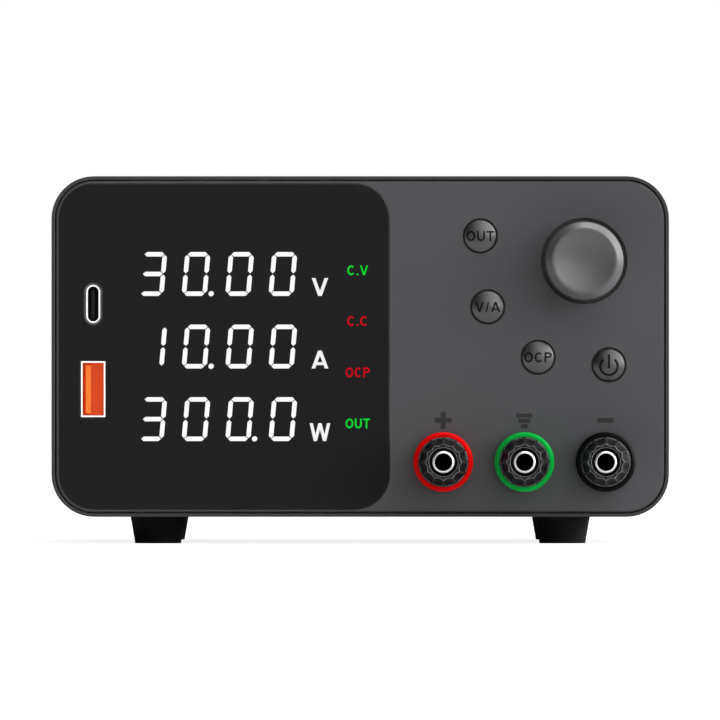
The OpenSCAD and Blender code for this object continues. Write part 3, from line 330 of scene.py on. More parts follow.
# %% Finishes of the inside
for slot, name, dark, light, roughness, grain, depth in (
        ("board_laminate", "Green solder mask", "#1a5a38", "#226845", 0.3, 1.2, 0.01),
        ("core_ferrite", "Sintered ferrite", "#2c2c2e", "#39393b", 0.6, 0.4, 0.02),
        ("winding_tape", "Polyester winding tape", "#cf9f25", "#dcb03a", 0.35, 3, 0.05),
        ("can_sleeve", "Shrink sleeve", "#22304a", "#2b3b58", 0.3, 4, 0.03),
        ("cable_vinyl", "Vinyl wire insulation", "#77797c", "#85878a", 0.5, 1.5, 0.008),
        ("display_epoxy", "Potted white display", "#dededa", "#e8e8e4", 0.35, 2, 0.008),
        ("light_resin", "Frosted light resin", "#d5ded5", "#e2eae2", 0.4, 0.6, 0.008)):
    finishes[slot] = moulded(name, dark, light, roughness, grain, depth)
material = begin_finish("Clear fuse glass", "#e9f2f4", 0.05, IOR=1.5, Transmission_Weight=0.9)[0]
finishes["fuse_glass"] = material
print(len(finishes), "finishes")

# %% [markdown]
# The finishes go onto the solids by the material slot that the record names for each node. The
# mesh stays as it is: only the object's material slots are filled. The three small buttons share
# the panel's slot but come from their own, smoother mould, and the small port's tongue is a
# darker nylon than the inlet.

# %% Finish the solids
slot_of = {part["node"]: part["material_slot"] for part in frame["record"]["subparts"]}
own_finish = {"out_button": button_abs, "select_button": button_abs, "limit_button": button_abs,
              "usb_c_tongue": port_nylon}
for node, solid in frame["nodes"].items():
    for entry in solid.material_slots:
        entry.material = own_finish.get(node, finishes[slot_of[node]])
print(len(slot_of), "solids finished")

# %% [markdown]
# The terminals' shafts are threaded, one turn a millimetre. Cutting a thread into the solid
# would cost thousands of faces for something seen only when a cap is unscrewed, so the finish
# carries it: a Wave texture makes one band a millimetre along Y. Blender's Wave texture turns
# twenty radians for each unit of scale, which sets the scale for a period of one millimetre.
# The plain nose at the tip is left smooth by a step at the depth where it begins.
# The same finish paints shade into two places that lie deep in shadow: the bore of the plug socket and
# the shoulder behind the nose are painted near black. The bore is picked by its distance from the axis,
# the shoulder also by its normal, which points to the front. Both radii lie a few hundredths of a
# millimetre beyond the solid's own, so that no face lies just on the border. Wrapping the place across
# over one pitch lets one finish serve all three shafts.

# %% Thread, bore and shoulder of the shafts
THREAD_PITCH, THREAD_DEPTH, NOSE = 1.0, 0.3, 3.2
BORE_R, NOSE_R, FRONTWARD = 2.11, 2.58, -0.7
red_x, post_z, _ = centre_of("red_post_base")
half_pitch = (centre_of("green_post_base")[0] - red_x) / 2
shaft_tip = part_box("red_post_shaft")[0].y
material, tree, place, shader = begin_finish(
    "Threaded nickel plate", "#f4f3f1", 0.32, metallic=1.0, edge=0.02)
xyz = add(tree, "ShaderNodeSeparateXYZ", {"Vector": place})
across = add(tree, "ShaderNodeMath", [xyz.outputs["X"], red_x * MM], operation="SUBTRACT")
across = add(tree, "ShaderNodeMath", [across, half_pitch * MM, -half_pitch * MM], operation="WRAP")
above = add(tree, "ShaderNodeMath", [xyz.outputs["Z"], post_z * MM], operation="SUBTRACT")
flat_place = add(tree, "ShaderNodeCombineXYZ", {"X": across, "Y": above})
radius = add(tree, "ShaderNodeVectorMath", [flat_place], operation="LENGTH").outputs["Value"]
# Painted shade: the deep bore and the shoulder behind the nose are painted near black, without metal and
# with little gloss.
in_bore = add(tree, "ShaderNodeMath", [radius, BORE_R * MM], operation="LESS_THAN")
past_nose = add(tree, "ShaderNodeMath", [radius, NOSE_R * MM], operation="GREATER_THAN")
normal = add(tree, "ShaderNodeTexCoord").outputs["Normal"]
facing = add(tree, "ShaderNodeSeparateXYZ", {"Vector": normal})
to_front = add(tree, "ShaderNodeMath", [facing.outputs["Y"], FRONTWARD], operation="LESS_THAN")
shoulder = add(tree, "ShaderNodeMath", [past_nose, to_front], operation="MULTIPLY")
painted_shade = add(tree, "ShaderNodeMath", [in_bore, shoulder], operation="MAXIMUM")
tarnish = add(tree, "ShaderNodeTexNoise", {"Vector": place, "Scale": 1 / (6 * MM), "Detail": 3.0})
plate = blend_colours(tree, tarnish.outputs["Fac"], "#f2f1ee", "#fdfcfa")
tree.links.new(blend_colours(tree, painted_shade.outputs[0], plate, "#060606"), shader.inputs["Base Color"])
bright = add(tree, "ShaderNodeMath", [1.0, painted_shade], operation="SUBTRACT")
tree.links.new(bright.outputs[0], shader.inputs["Metallic"])
gloss = add(tree, "ShaderNodeMapRange", {"Value": painted_shade, "To Min": 0.42, "To Max": 0.9})
tree.links.new(gloss.outputs["Result"], shader.inputs["Roughness"])
bands = add(tree, "ShaderNodeTexWave", {
    "Vector": place, "Scale": 2 * math.pi / (20 * THREAD_PITCH * MM)}, bands_direction="Y")
behind_nose = add(tree, "ShaderNodeMath", [xyz.outputs["Y"], shaft_tip + NOSE * MM],
                  operation="GREATER_THAN")
height = add(tree, "ShaderNodeMath", [bands.outputs["Fac"], behind_nose], operation="MULTIPLY")
bump(tree, shader, height, THREAD_DEPTH)
for tint in ("red", "green", "black"):
    for entry in frame["nodes"][tint + "_post_shaft"].material_slots:
        entry.material = material
print("thread of", THREAD_PITCH, "mm behind", round(shaft_tip / MM + NOSE, 2), "mm")

# %% [markdown]
# A finished piece is a mesh whose place is in its vertices, at an object that sits at the origin. This
# helper makes the object, gives it its finish and lets it ride on a body of the frame.

# %% Helper for added pieces
def as_piece(name, mesh, finish, body):
    """Makes an object of the mesh and lets it ride on one of the frame's bodies."""
    mesh.name = name
    mesh.materials.clear()
    mesh.materials.append(finish)
    piece = bpy.data.objects.new(name, mesh)
    bpy.context.scene.collection.objects.link(piece)
    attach(piece, body)
    return piece


# %% [markdown]
# A modifier reads its inputs by socket identifier, so this helper looks each one up by its
# name, then turns the evaluated result into a plain mesh, because instances and live modifiers
# don't leave Blender. It serves every Geometry Nodes tree in this lesson.

# %% Grow a mesh with a tree
def grow(tree, start, **values):
    """The mesh that a Geometry Nodes tree makes of a starting mesh."""
    carrier = bpy.data.objects.new("carrier", start)
    bpy.context.scene.collection.objects.link(carrier)
    modifier = carrier.modifiers.new("grow", "NODES")
    modifier.node_group = tree
    known = {item.name: item.identifier for item in tree.interface.items_tree if item.in_out == "INPUT"}
    for label, value in values.items():
        modifier[known[label.replace("_", " ")]] = value
    bpy.context.view_layer.update()
    grown = bpy.data.meshes.new_from_object(carrier.evaluated_get(bpy.context.evaluated_depsgraph_get()))
    bpy.data.objects.remove(carrier)
    return grown


def new_tree(name, inputs, result):
    """An empty Geometry Nodes tree with named inputs, and the outputs of its group input."""
    tree = bpy.data.node_groups.new(name, "GeometryNodeTree")
    for label, kind in inputs:
        tree.interface.new_socket(label, in_out="INPUT", socket_type="NodeSocket" + kind)
    tree.interface.new_socket(result, in_out="OUTPUT", socket_type="NodeSocketGeometry")
    return tree, add(tree, "NodeGroupInput").outputs


# %% [markdown]
# Knob and caps are turned shapes, and the caps have twelve flutes scooped into their sides: a
# shape that follows a rule, so Geometry Nodes makes it. The tree gets a profile whose points
# carry the radius, the distance out of the front plane and the flutes' depth there. A flat grid
# has one row of vertices for each profile point and one column for each step round the axis;
# every vertex looks its row up in the profile and moves to its place. A flute is a parabola
# across its scooped share of the pitch, so between two flutes a narrow ridge is left.

# %% Geometry Nodes tree for turned and fluted pieces
WELD = 0.01 * MM


def turned_tree():
    tree, given = new_tree("Turned and fluted", (
        ("Profile", "Geometry"), ("Centre", "Vector"), ("Flutes", "Int"), ("Steps", "Int"),
        ("Scoop Share", "Float"), ("Finish", "Material")), "Piece")
    rows = add(tree, "GeometryNodeAttributeDomainSize", [given["Profile"]]).outputs["Point Count"]
    round_count = add(tree, "ShaderNodeMath", [given["Flutes"], given["Steps"]], operation="MULTIPLY")
    columns = add(tree, "ShaderNodeMath", [round_count, 1.0], operation="ADD")
    grid = add(tree, "GeometryNodeMeshGrid", {
        "Size X": 1.0, "Size Y": 1.0, "Vertices X": columns, "Vertices Y": rows})
    here = add(tree, "ShaderNodeSeparateXYZ", {
        "Vector": add(tree, "GeometryNodeInputPosition").outputs["Position"]})
    turn = add(tree, "ShaderNodeMath", [here.outputs["X"], 0.5], operation="ADD")
    level = add(tree, "ShaderNodeMath", [here.outputs["Y"], 0.5], operation="ADD")
    last = add(tree, "ShaderNodeMath", [rows, 1.0], operation="SUBTRACT")
    row = add(tree, "ShaderNodeMath", [level, last], operation="MULTIPLY")
    row = add(tree, "ShaderNodeMath", [row], operation="ROUND")
    point = add(tree, "GeometryNodeSampleIndex", {
        "Geometry": given["Profile"], "Value": add(tree, "GeometryNodeInputPosition").outputs["Position"],
        "Index": row}, data_type="FLOAT_VECTOR", domain="POINT")
    point = add(tree, "ShaderNodeSeparateXYZ", {"Vector": point.outputs["Value"]})

    pitches = add(tree, "ShaderNodeMath", [turn, given["Flutes"]], operation="MULTIPLY")
    within = add(tree, "ShaderNodeMath", [pitches], operation="FRACT")
    side = add(tree, "ShaderNodeMath", [within, 2.0, -1.0], operation="MULTIPLY_ADD")
    side = add(tree, "ShaderNodeMath", [side, given["Scoop Share"]], operation="DIVIDE")
    square = add(tree, "ShaderNodeMath", [side, 2.0], operation="POWER")
    scoop = add(tree, "ShaderNodeMath", [1.0, square], operation="SUBTRACT")
    scoop = add(tree, "ShaderNodeMath", [scoop, 0.0], operation="MAXIMUM")
    cut = add(tree, "ShaderNodeMath", [scoop, point.outputs["Z"]], operation="MULTIPLY")
    radius = add(tree, "ShaderNodeMath", [point.outputs["X"], cut], operation="SUBTRACT")

    angle = add(tree, "ShaderNodeMath", [turn, 2 * math.pi], operation="MULTIPLY")
    sine = add(tree, "ShaderNodeMath", [angle], operation="SINE")
    cosine = add(tree, "ShaderNodeMath", [angle], operation="COSINE")
    across = add(tree, "ShaderNodeMath", [radius, cosine], operation="MULTIPLY")
    up = add(tree, "ShaderNodeMath", [radius, sine], operation="MULTIPLY")
    back = add(tree, "ShaderNodeMath", [point.outputs["Y"], -1.0], operation="MULTIPLY")
    place = add(tree, "ShaderNodeCombineXYZ", {"X": across, "Y": back, "Z": up})
    place = add(tree, "ShaderNodeVectorMath", [place, given["Centre"]], operation="ADD")
    turned = add(tree, "GeometryNodeSetPosition", {"Geometry": grid.outputs["Mesh"], "Position": place})
    closed = add(tree, "GeometryNodeMergeByDistance", {"Geometry": turned, "Distance": WELD})
    real = add(tree, "GeometryNodeRealizeInstances", {"Geometry": closed})
    painted = add(tree, "GeometryNodeSetMaterial", {"Geometry": real, "Material": given["Finish"]})
    add(tree, "NodeGroupOutput", [painted])
    return tree


turned = turned_tree()
print("Turned and fluted has", len(turned.nodes), "nodes")

# %% [markdown]
# The profile is a list of points in millimetres. Each is drawn as a chain of edges, grown round
# the axis, and cleaned: normals are recalculated, and faces are smooth but for edges sharper
# than 30 degrees.

# %% Turn a profile
def turn_piece(name, profile, node, flutes, steps, share, finish, body):
    """A turned piece in place of a node, on the node's own axis."""
    x, z, _ = centre_of(node)
    chain = bpy.data.meshes.new(name + " profile")
    chain.from_pydata([(r * MM, out * MM, cut * MM) for r, out, cut in profile],
                      [(i, i + 1) for i in range(len(profile) - 1)], [])
    mesh = grow(turned, chain, Centre=(x * MM, FRONT, z * MM), Flutes=flutes, Steps=steps,
                Scoop_Share=share, Finish=finish)
    bm = bmesh.new()
    bm.from_mesh(mesh)
    bmesh.ops.remove_doubles(bm, verts=bm.verts, dist=WELD)
    bmesh.ops.recalc_face_normals(bm, faces=bm.faces)
    bm.to_mesh(mesh)
    bm.free()
    mesh.polygons.foreach_set("use_smooth", [True] * len(mesh.polygons))
    mesh.set_sharp_from_angle(angle=math.radians(30))
    piece = as_piece(name, mesh, finish, body)
    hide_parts(node)
    return piece


# %% [markdown]
# The caps: a plain skirt at the flange, twelve flutes up the cone, and a flat front ring round the recess
# of the socket. The flutes are shallow at the front, deepen on the way down and end in a short steep step
# at the skirt. A painted highlight, a pale grey along the ridges and the scalloped front edge, stands for
# the glints on those edges, and that pale line is what draws the cap from the front.

# %% Fluted caps
cap_nylon, tree, place, shader = begin_finish(
    "Black nylon cap with painted edge highlights", "#0c0c0d", 0.36, edge=0.1, specular=0.15)
cloud(tree, place, shader, 12, "#0b0b0c", "#111112", "Base Color")
# Painted highlight: a pale grey line along the caps' edges and ridges stands for their glints.
painted_edge_highlight(tree, shader, "#dcdce0", 0.17)
relief(tree, place, shader, grain=0.8, depth=0.006)
CAP_REAR, SKIRT, CAP_REACH = 4.3, 3.0, centre_of("red_post_cap")[2]
CAP_R, CAP_TOP_R, CUT = 5.9, 4.3, 0.55
CAP_BORE_R, MOUTH_R, WASHER_SEAT_R, WASHER_SEAT = 3.05, 3.4, 4.95, 5.15
cone, recess = CAP_REAR + SKIRT, CAP_REACH - 2.6


def cone_r(out):
    """Radius of the cap's cone at a distance out of the front plane."""
    return CAP_R + (CAP_TOP_R - CAP_R) * (out - cone) / (CAP_REACH - cone)


cap_profile = [(CAP_BORE_R, recess, 0), (3.3, CAP_REACH - 1.0, 0), (3.32, CAP_REACH - 0.25, 0),
               (MOUTH_R, CAP_REACH, 0), (CAP_TOP_R, CAP_REACH, CUT * 0.7)]
for out, share in (
        (CAP_REACH - 1.5, 0.8), (CAP_REACH - 3.0, 0.95), (CAP_REACH - 5.0, 1.0), (cone + 1.8, 1.0),
        (cone + 1.45, 0.93), (cone + 1.25, 0.76), (cone + 1.1, 0.45), (cone + 1.04, 0.0)):
    cap_profile.append((cone_r(out), out, CUT * share))
cap_profile += [
    (cone_r(cone + 0.15), cone + 0.15, 0), (CAP_R, cone - 0.15, 0), (CAP_R, CAP_REAR + 0.4, 0),
    (CAP_R - 0.12, CAP_REAR + 0.12, 0), (CAP_R - 0.4, CAP_REAR, 0), (WASHER_SEAT_R, CAP_REAR, 0),
    (WASHER_SEAT_R, WASHER_SEAT, 0), (CAP_BORE_R, WASHER_SEAT, 0), (CAP_BORE_R, recess, 0)]
for tint in ("red", "green", "black"):
    cap = turn_piece(tint + "_fluted_cap", cap_profile, tint + "_post_cap", 12, 12, 0.9,
                     cap_nylon, tint + "_cap")
print("each cap has", len(cap.data.polygons), "faces")

# %% [markdown]
# The knob is turned too, without flutes: a hub over the encoder's shaft, a hollow back, a
# slightly conical side, a broad bevel and a dished face. Its dish is part of a sphere, so the
# light drifts across it evenly. A few extra points round the bevel's two edges keep them crisp.

# %% Knob
KNOB_REACH, KNOB_R, FACE_R, DISH = centre_of("knob")[2], 9.3, 7.6, 1.2
SHOULDER, KNOB_BASE, HOLLOW_R, HOLLOW_TOP = 1.5, -0.5, 7.7, 1.8
HUB_R, HUB_BASE, SHAFT_R, SHAFT_END = 4.6, -0.2, 3.05, 10.3
COLLAR_R = 6.3
bevel_from = KNOB_REACH - SHOULDER
dish_r = ((FACE_R - 0.4) ** 2 + DISH ** 2) / (2 * DISH)
knob_profile = [
    (0.0, SHAFT_END, 0), (SHAFT_R, SHAFT_END, 0), (SHAFT_R, HOLLOW_TOP, 0), (HUB_R, HOLLOW_TOP, 0),
    (HUB_R, HUB_BASE, 0), (COLLAR_R, HUB_BASE, 0), (COLLAR_R, HOLLOW_TOP, 0), (HOLLOW_R, HOLLOW_TOP, 0),
    (HOLLOW_R, KNOB_BASE, 0), (KNOB_R - 0.15, KNOB_BASE, 0), (KNOB_R, KNOB_BASE + 0.15, 0),
    (KNOB_R - 0.2, bevel_from - 0.2, 0), (KNOB_R - 0.27, bevel_from - 0.02, 0),
    (KNOB_R - 0.4, bevel_from + 0.13, 0), (FACE_R + 0.22, KNOB_REACH - 0.15, 0),
    (FACE_R + 0.08, KNOB_REACH - 0.04, 0), (FACE_R - 0.08, KNOB_REACH, 0), (FACE_R - 0.3, KNOB_REACH, 0)]
for i in range(13):
    r = (FACE_R - 0.4) * (1 - i / 12)
    knob_profile.append((r, KNOB_REACH - DISH + dish_r - math.sqrt(dish_r ** 2 - r ** 2), 0))
turn_piece("turned_knob", knob_profile, "knob", 1, 128, 1.0, finishes["knob_abs"], "knob")
print("knob", round(KNOB_REACH, 2), "mm proud, dish radius", round(dish_r, 1), "mm")

# %% [markdown]
# The four buttons are turned shapes as well: a stem, a flange that keeps the button in the
# panel, and a domed cap. The dome is part of a sphere again, with the edge just broken.

# %% Buttons
BUTTON_R, DOME, STEM_R, PANEL_T = 3.7, 0.9, 1.7, 3.0
dome_r = (BUTTON_R ** 2 + DOME ** 2) / (2 * DOME)
flange_front = -PANEL_T - 0.2
for node in ("out_button", "select_button", "limit_button", "power_button"):
    finish = own_finish.get(node, finishes["dark_abs"])
    reach = centre_of(node)[2]
    stem_end = (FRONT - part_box(node)[1].y) / MM
    profile = [(0.0, stem_end, 0), (STEM_R, stem_end, 0), (STEM_R, flange_front - 1.0, 0),
               (BUTTON_R + 1.2, flange_front - 1.0, 0), (BUTTON_R + 1.2, flange_front, 0),
               (BUTTON_R, flange_front, 0), (BUTTON_R, reach - DOME - 0.12, 0)]
    for i in range(15):
        r = (BUTTON_R - 0.05) * (1 - i / 14)
        profile.append((r, reach - dome_r + math.sqrt(dome_r ** 2 - r ** 2), 0))
    turn_piece("turned_" + node, profile, node, 1, 96, 1.0, finish, node)
print("dome radius", round(dome_r, 2), "mm")

# %% [markdown]
# Lit segments and legends give their own light and reflect nothing, so that their colours
# come out exactly as written.

# %% Lit finishes
def glowing(name, colour):
    """A lit display segment or legend."""
    return begin_finish(name, "#000000", 1.0, edge=0.05, specular=0.0,
                        Emission_Color=srgb(colour), Emission_Strength=1.0)[0]


white_segment = glowing("Lit white segment", "#ffffff")
green_segment = glowing("Lit green legend", "#14d236")
red_segment = glowing("Lit red legend", "#c60b1b")
print("lit finishes ready")

# %% [markdown]
# A numeric display is the same bar again and again: seven bars a digit, twelve digits, each bar
# with pointed ends. So one Geometry Nodes tree makes them. It puts a hexagonal bar on every
# point of a small cloud, turns and stretches it by the point's own attributes, adds the round
# decimal points, and leans the whole row over by a few degrees as such displays do.
# The hexagon comes from a six-sided cylinder: squeezed by the tangent of 30 degrees in one
# direction its ends are right angles, and pushing its two halves apart sets the bar's length.

# %% Geometry Nodes tree for the lit bars
def display_tree():
    tree, given = new_tree("Lit bars", (
        ("Points", "Geometry"), ("Bar Length", "Float"), ("Bar Width", "Float"), ("Proud", "Float"),
        ("Dot Radius", "Float"), ("Lean", "Float"), ("Row Height", "Float"), ("Finish", "Material")),
        "Bars")
    bar = add(tree, "GeometryNodeMeshCylinder", {
        "Vertices": 6, "Radius": given["Bar Width"], "Depth": given["Proud"]})
    at = add(tree, "GeometryNodeInputPosition").outputs["Position"]
    xyz = add(tree, "ShaderNodeSeparateXYZ", {"Vector": at})
    side = add(tree, "ShaderNodeMath", [xyz.outputs["X"]], operation="SIGN")
    half = add(tree, "ShaderNodeMath", [given["Bar Length"], 0.5], operation="MULTIPLY")
    push = add(tree, "ShaderNodeMath", [half, given["Bar Width"]], operation="SUBTRACT")
    moved = add(tree, "ShaderNodeMath", [side, push, xyz.outputs["X"]], operation="MULTIPLY_ADD")
    squeezed = add(tree, "ShaderNodeMath", [xyz.outputs["Y"], math.tan(math.radians(30))],
                   operation="MULTIPLY")
    bar_at = add(tree, "ShaderNodeCombineXYZ", {"X": moved, "Y": squeezed, "Z": xyz.outputs["Z"]})
    bar = add(tree, "GeometryNodeSetPosition", {"Geometry": bar.outputs["Mesh"], "Position": bar_at})

    turn = add(tree, "GeometryNodeInputNamedAttribute", {"Name": "turn"}, data_type="FLOAT")
    stretch = add(tree, "GeometryNodeInputNamedAttribute", {"Name": "stretch"}, data_type="FLOAT")
    is_dot = add(tree, "GeometryNodeInputNamedAttribute", {"Name": "dot"}, data_type="FLOAT")
    dot_here = add(tree, "FunctionNodeCompare", [is_dot, 0.5], data_type="FLOAT",
                   operation="GREATER_THAN")
    bar_here = add(tree, "FunctionNodeBooleanMath", [dot_here], operation="NOT")
    angles = add(tree, "ShaderNodeCombineXYZ", {"X": math.radians(90), "Y": turn.outputs["Attribute"]})
    turned_by = add(tree, "FunctionNodeEulerToRotation", {"Euler": angles})
    longer = add(tree, "ShaderNodeCombineXYZ", {"X": stretch.outputs["Attribute"], "Y": 1.0, "Z": 1.0})
    bars = add(tree, "GeometryNodeInstanceOnPoints", {
        "Points": given["Points"], "Instance": bar.outputs["Geometry"], "Selection": bar_here,
        "Rotation": turned_by, "Scale": longer})
    disc = add(tree, "GeometryNodeMeshCylinder", {
        "Vertices": 24, "Radius": given["Dot Radius"], "Depth": given["Proud"]})
    dots = add(tree, "GeometryNodeInstanceOnPoints", {
        "Points": given["Points"], "Instance": disc.outputs["Mesh"],
        "Selection": dot_here, "Rotation": turned_by})
    both = add(tree, "GeometryNodeJoinGeometry")
    tree.links.new(bars.outputs["Instances"], both.inputs[0])
    tree.links.new(dots.outputs["Instances"], both.inputs[0])
    real = add(tree, "GeometryNodeRealizeInstances", {"Geometry": both})

    here = add(tree, "ShaderNodeSeparateXYZ", {
        "Vector": add(tree, "GeometryNodeInputPosition").outputs["Position"]})
    above = add(tree, "ShaderNodeMath", [here.outputs["Z"], given["Row Height"]], operation="SUBTRACT")
    over = add(tree, "ShaderNodeMath", [above, given["Lean"]], operation="MULTIPLY")
    shift = add(tree, "ShaderNodeCombineXYZ", {"X": over})
    leaning = add(tree, "GeometryNodeSetPosition", {"Geometry": real, "Offset": shift})
    painted = add(tree, "GeometryNodeSetMaterial", {"Geometry": leaning, "Material": given["Finish"]})
    add(tree, "NodeGroupOutput", [painted])
    return tree


lit_bars = display_tree()
print("Lit bars has", len(lit_bars.nodes), "nodes")

# Bars of one digit, as (across, up, upright) in half widths and half heights of the digit
BARS = {"a": (0, 1, 0), "b": (1, 0.5, 1), "c": (1, -0.5, 1), "d": (0, -1, 0),
        "e": (-1, -0.5, 1), "f": (-1, 0.5, 1), "g": (0, 0, 0)}
LIT = {"0": "abcdef", "1": "bc", "3": "abcdg"}
print("digits known:", sorted(LIT))

# %% [markdown]
# The readings are those of a supply at its full 30 volts and 10 amps. The digits are 10.3 mm
# high and 5.9 mm wide with bars 1.05 mm wide, the level bars a little longer than the upright
# ones. They stand a few hundredths of a millimetre proud of the window, as light that seems to
# lie on its surface.

# %% Lit readings
DIGIT_W, DIGIT_H, BAR, BAR_GAP, LEVEL_STRETCH = 5.9, 10.3, 1.05, 0.3, 1.075
DOT_R, LEAN = 0.62, math.tan(math.radians(5))
COLUMNS = (-48.7, -38.55, -28.3, -18.15)
ROW_PITCH = 17.04
PROUD = 0.04


def reading(name, text, row, dot_x):
    """One row of digits. A space leaves its column dark."""
    low = MIDDLE / MM + row * ROW_PITCH
    half_w, half_h = (DIGIT_W - BAR) / 2, (DIGIT_H - BAR) / 2
    spots = []
    for column, digit in zip(COLUMNS, text):
        for bar in LIT.get(digit, ""):
            across, up, upright = BARS[bar]
            spots.append((column + across * half_w, low + up * half_h, upright * math.pi / 2,
                          1.0 if upright else LEVEL_STRETCH, 0.0))
    spots.append((dot_x, low - half_h, 0.0, 1.0, 1.0))
    cloud_mesh = bpy.data.meshes.new(name + " points")
    depth = FRONT - PROUD / 2 * MM
    cloud_mesh.from_pydata([(across * MM, depth, up * MM) for across, up, *_ in spots], [], [])
    for label, index in (("turn", 2), ("stretch", 3), ("dot", 4)):
        values = cloud_mesh.attributes.new(label, "FLOAT", "POINT")
        values.data.foreach_set("value", [spot[index] for spot in spots])
    mesh = grow(lit_bars, cloud_mesh, Bar_Length=(half_h - BAR_GAP) * MM, Bar_Width=BAR * MM,
                Proud=PROUD * MM, Dot_Radius=DOT_R * MM, Lean=LEAN, Row_Height=low * MM,
                Finish=white_segment)
    return as_piece(name, mesh, white_segment, "chassis")


for name, text, row, dot_x in (("reading_voltage", "3000", 1, -34.6),
                               ("reading_current", "1000", 0, -34.6),
                               ("reading_power", "3000", -1, -24.4)):
    print(name, "has", len(reading(name, text, row, dot_x).data.polygons), "faces")

# %% [markdown]
# Letters and signs are drawn with a sign writer's strokes. A stroke is a flat strip of constant
# width along a list of points; its ends are cut square, or level where a slanted stroke meets
# the top or the foot of the line. The strip follows any surface that is given by how far it
# stands out of the front plane, so one helper letters the flat window and the domed buttons.

# %% Strokes
def strip(bm, points, width, height, out_at, level=False):
    """A flat bar along a list of points (across, up), on a surface that stands out by out_at there."""
    rows = []
    for i, (px, pz) in enumerate(points):
        ax, az = points[max(i - 1, 0)]
        bx, bz = points[min(i + 1, len(points) - 1)]
        along = Vector((bx - ax, bz - az)).normalized()
        side = Vector((-along.y, along.x)) * width / 2
        if level and i in (0, len(points) - 1):
            side = Vector((-width / 2 / along.y, 0))
        row = []
        for s, h in ((-1, 0), (-1, height), (1, height), (1, 0)):
            qx, qz = px + s * side.x, pz + s * side.y
            row.append(bm.verts.new((qx, -out_at(qx, qz) - h, qz)))
        rows.append(row)
    for first, second in zip(rows, rows[1:]):
        for k in range(4):
            bm.faces.new((first[k], second[k], second[(k + 1) % 4], first[(k + 1) % 4]))
    bm.faces.new(rows[0][::-1])
    bm.faces.new(rows[-1])


def sign(name, strips, x, z, finish, body, height=PROUD, out_at=lambda across, up: 0.0):
    """Strips around (x, z) on the front, as one piece."""
    bm = bmesh.new()
    for points, width, *level in strips:
        strip(bm, points, width, height, out_at, bool(level))
    bmesh.ops.recalc_face_normals(bm, faces=bm.faces)
    bm.transform(Matrix.Translation((x * MM, FRONT, z * MM)) @ Matrix.Scale(MM, 4))
    mesh = bpy.data.meshes.new(name)
    bm.to_mesh(mesh)
    bm.free()
    return as_piece(name, mesh, finish, body)


def line(*corners, step=0.3):
    """Points every few tenths of a millimetre along a chain of corners."""
    points = [corners[0]]
    for (ax, az), (bx, bz) in zip(corners, corners[1:]):
        count = max(1, math.ceil(math.hypot(bx - ax, bz - az) / step))
        points += [(ax + (bx - ax) * i / count, az + (bz - az) * i / count) for i in range(1, count + 1)]
    return points


def arc(cx, cz, rx, rz, start, end, count=20):
    """Points on an ellipse between two angles in degrees, counted from the right."""
    angles = [math.radians(start + (end - start) * i / count) for i in range(count + 1)]
    return [(cx + rx * math.cos(a), cz + rz * math.sin(a)) for a in angles]


print("a level line of 3 mm has", len(line((0, 0), (3, 0))), "points")

# %% [markdown]
# Only eight letters and two marks are needed, so each is a few strokes in a box of its own
# width w, height h and stroke width s: a plain bold grotesque, as sign writers and panel
# printers use. Words are set letter by letter and stretched to the width that they fill.

# %% Letters
def letter(mark, w, h, s):
    """Strokes of one letter, its lower left corner at the origin."""
    k = s * 0.56
    if mark == "V":
        return [(line((k, h), (w / 2, 0)), s, "level"), (line((w / 2, 0), (w - k, h)), s, "level")]
    if mark == "A":
        foot = 0.27 * h
        inset = k + (w / 2 - k) * foot / h
        return [(line((k, 0), (w / 2, h)), s, "level"), (line((w / 2, h), (w - k, 0)), s, "level"),
                (line((inset, foot), (w - inset, foot)), 0.85 * s)]
    if mark == "W":
        knees = [(k * 0.9, h), (0.28 * w, 0), (0.5 * w, h), (0.72 * w, 0), (w - k * 0.9, h)]
        return [(line(a, b), s * 0.92, "level") for a, b in zip(knees, knees[1:])]
    if mark == "C":
        return [(arc(w / 2, h / 2, (w - s) / 2, (h - s) / 2, 45, 315), s)]
    if mark == "O":
        return [(arc(w / 2, h / 2, (w - s) / 2, (h - s) / 2, 0, 360, 28), s)]
    if mark == "P":
        r = (0.56 * h - s) / 2
        bowl = arc(w - s / 2 - r, h - s / 2 - r, r, r, 90, -90, 10)
        back = line(bowl[-1], (s / 2, h - s / 2 - 2 * r))
        return [(line((s / 2, 0), (s / 2, h)), s),
                (line((s / 2, h - s / 2), bowl[0]) + bowl[1:] + back[1:], s)]
    if mark == "U":
        r = (w - s) / 2
        bend = arc(w / 2, s / 2 + r, r, r, 180, 360, 14)
        return [(line((s / 2, h), bend[0]) + bend[1:] + line(bend[-1], (w - s / 2, h))[1:], s)]
    if mark == "T":
        return [(line((0, h - s / 2), (w, h - s / 2)), s), (line((w / 2, 0), (w / 2, h)), s)]
    if mark == "/":
        return [(line((k, 0), (w - k, h)), s * 0.8, "level")]
    return [(line((0, s / 2), (w, s / 2)), s)]


WIDTHS = {"V": 0.86, "A": 0.92, "W": 1.2, "C": 0.82, "O": 0.88, "P": 0.74, "U": 0.78, "T": 0.74, "/": 0.4}


def word(text, width, height, stroke, gap=0.16):
    """Strokes of a word that fills width x height, centred on the origin."""
    wide = [WIDTHS.get(mark, stroke / height) for mark in text]
    scale = width / (sum(wide) + gap * (len(text) - 1))
    strokes, x = [], -width / 2
    for mark, share in zip(text, wide):
        for points, s, *level in letter(mark, share * scale, height, stroke):
            strokes.append(([(x + px, pz - height / 2) for px, pz in points], s, *level))
        x += (share + gap) * scale
    return strokes


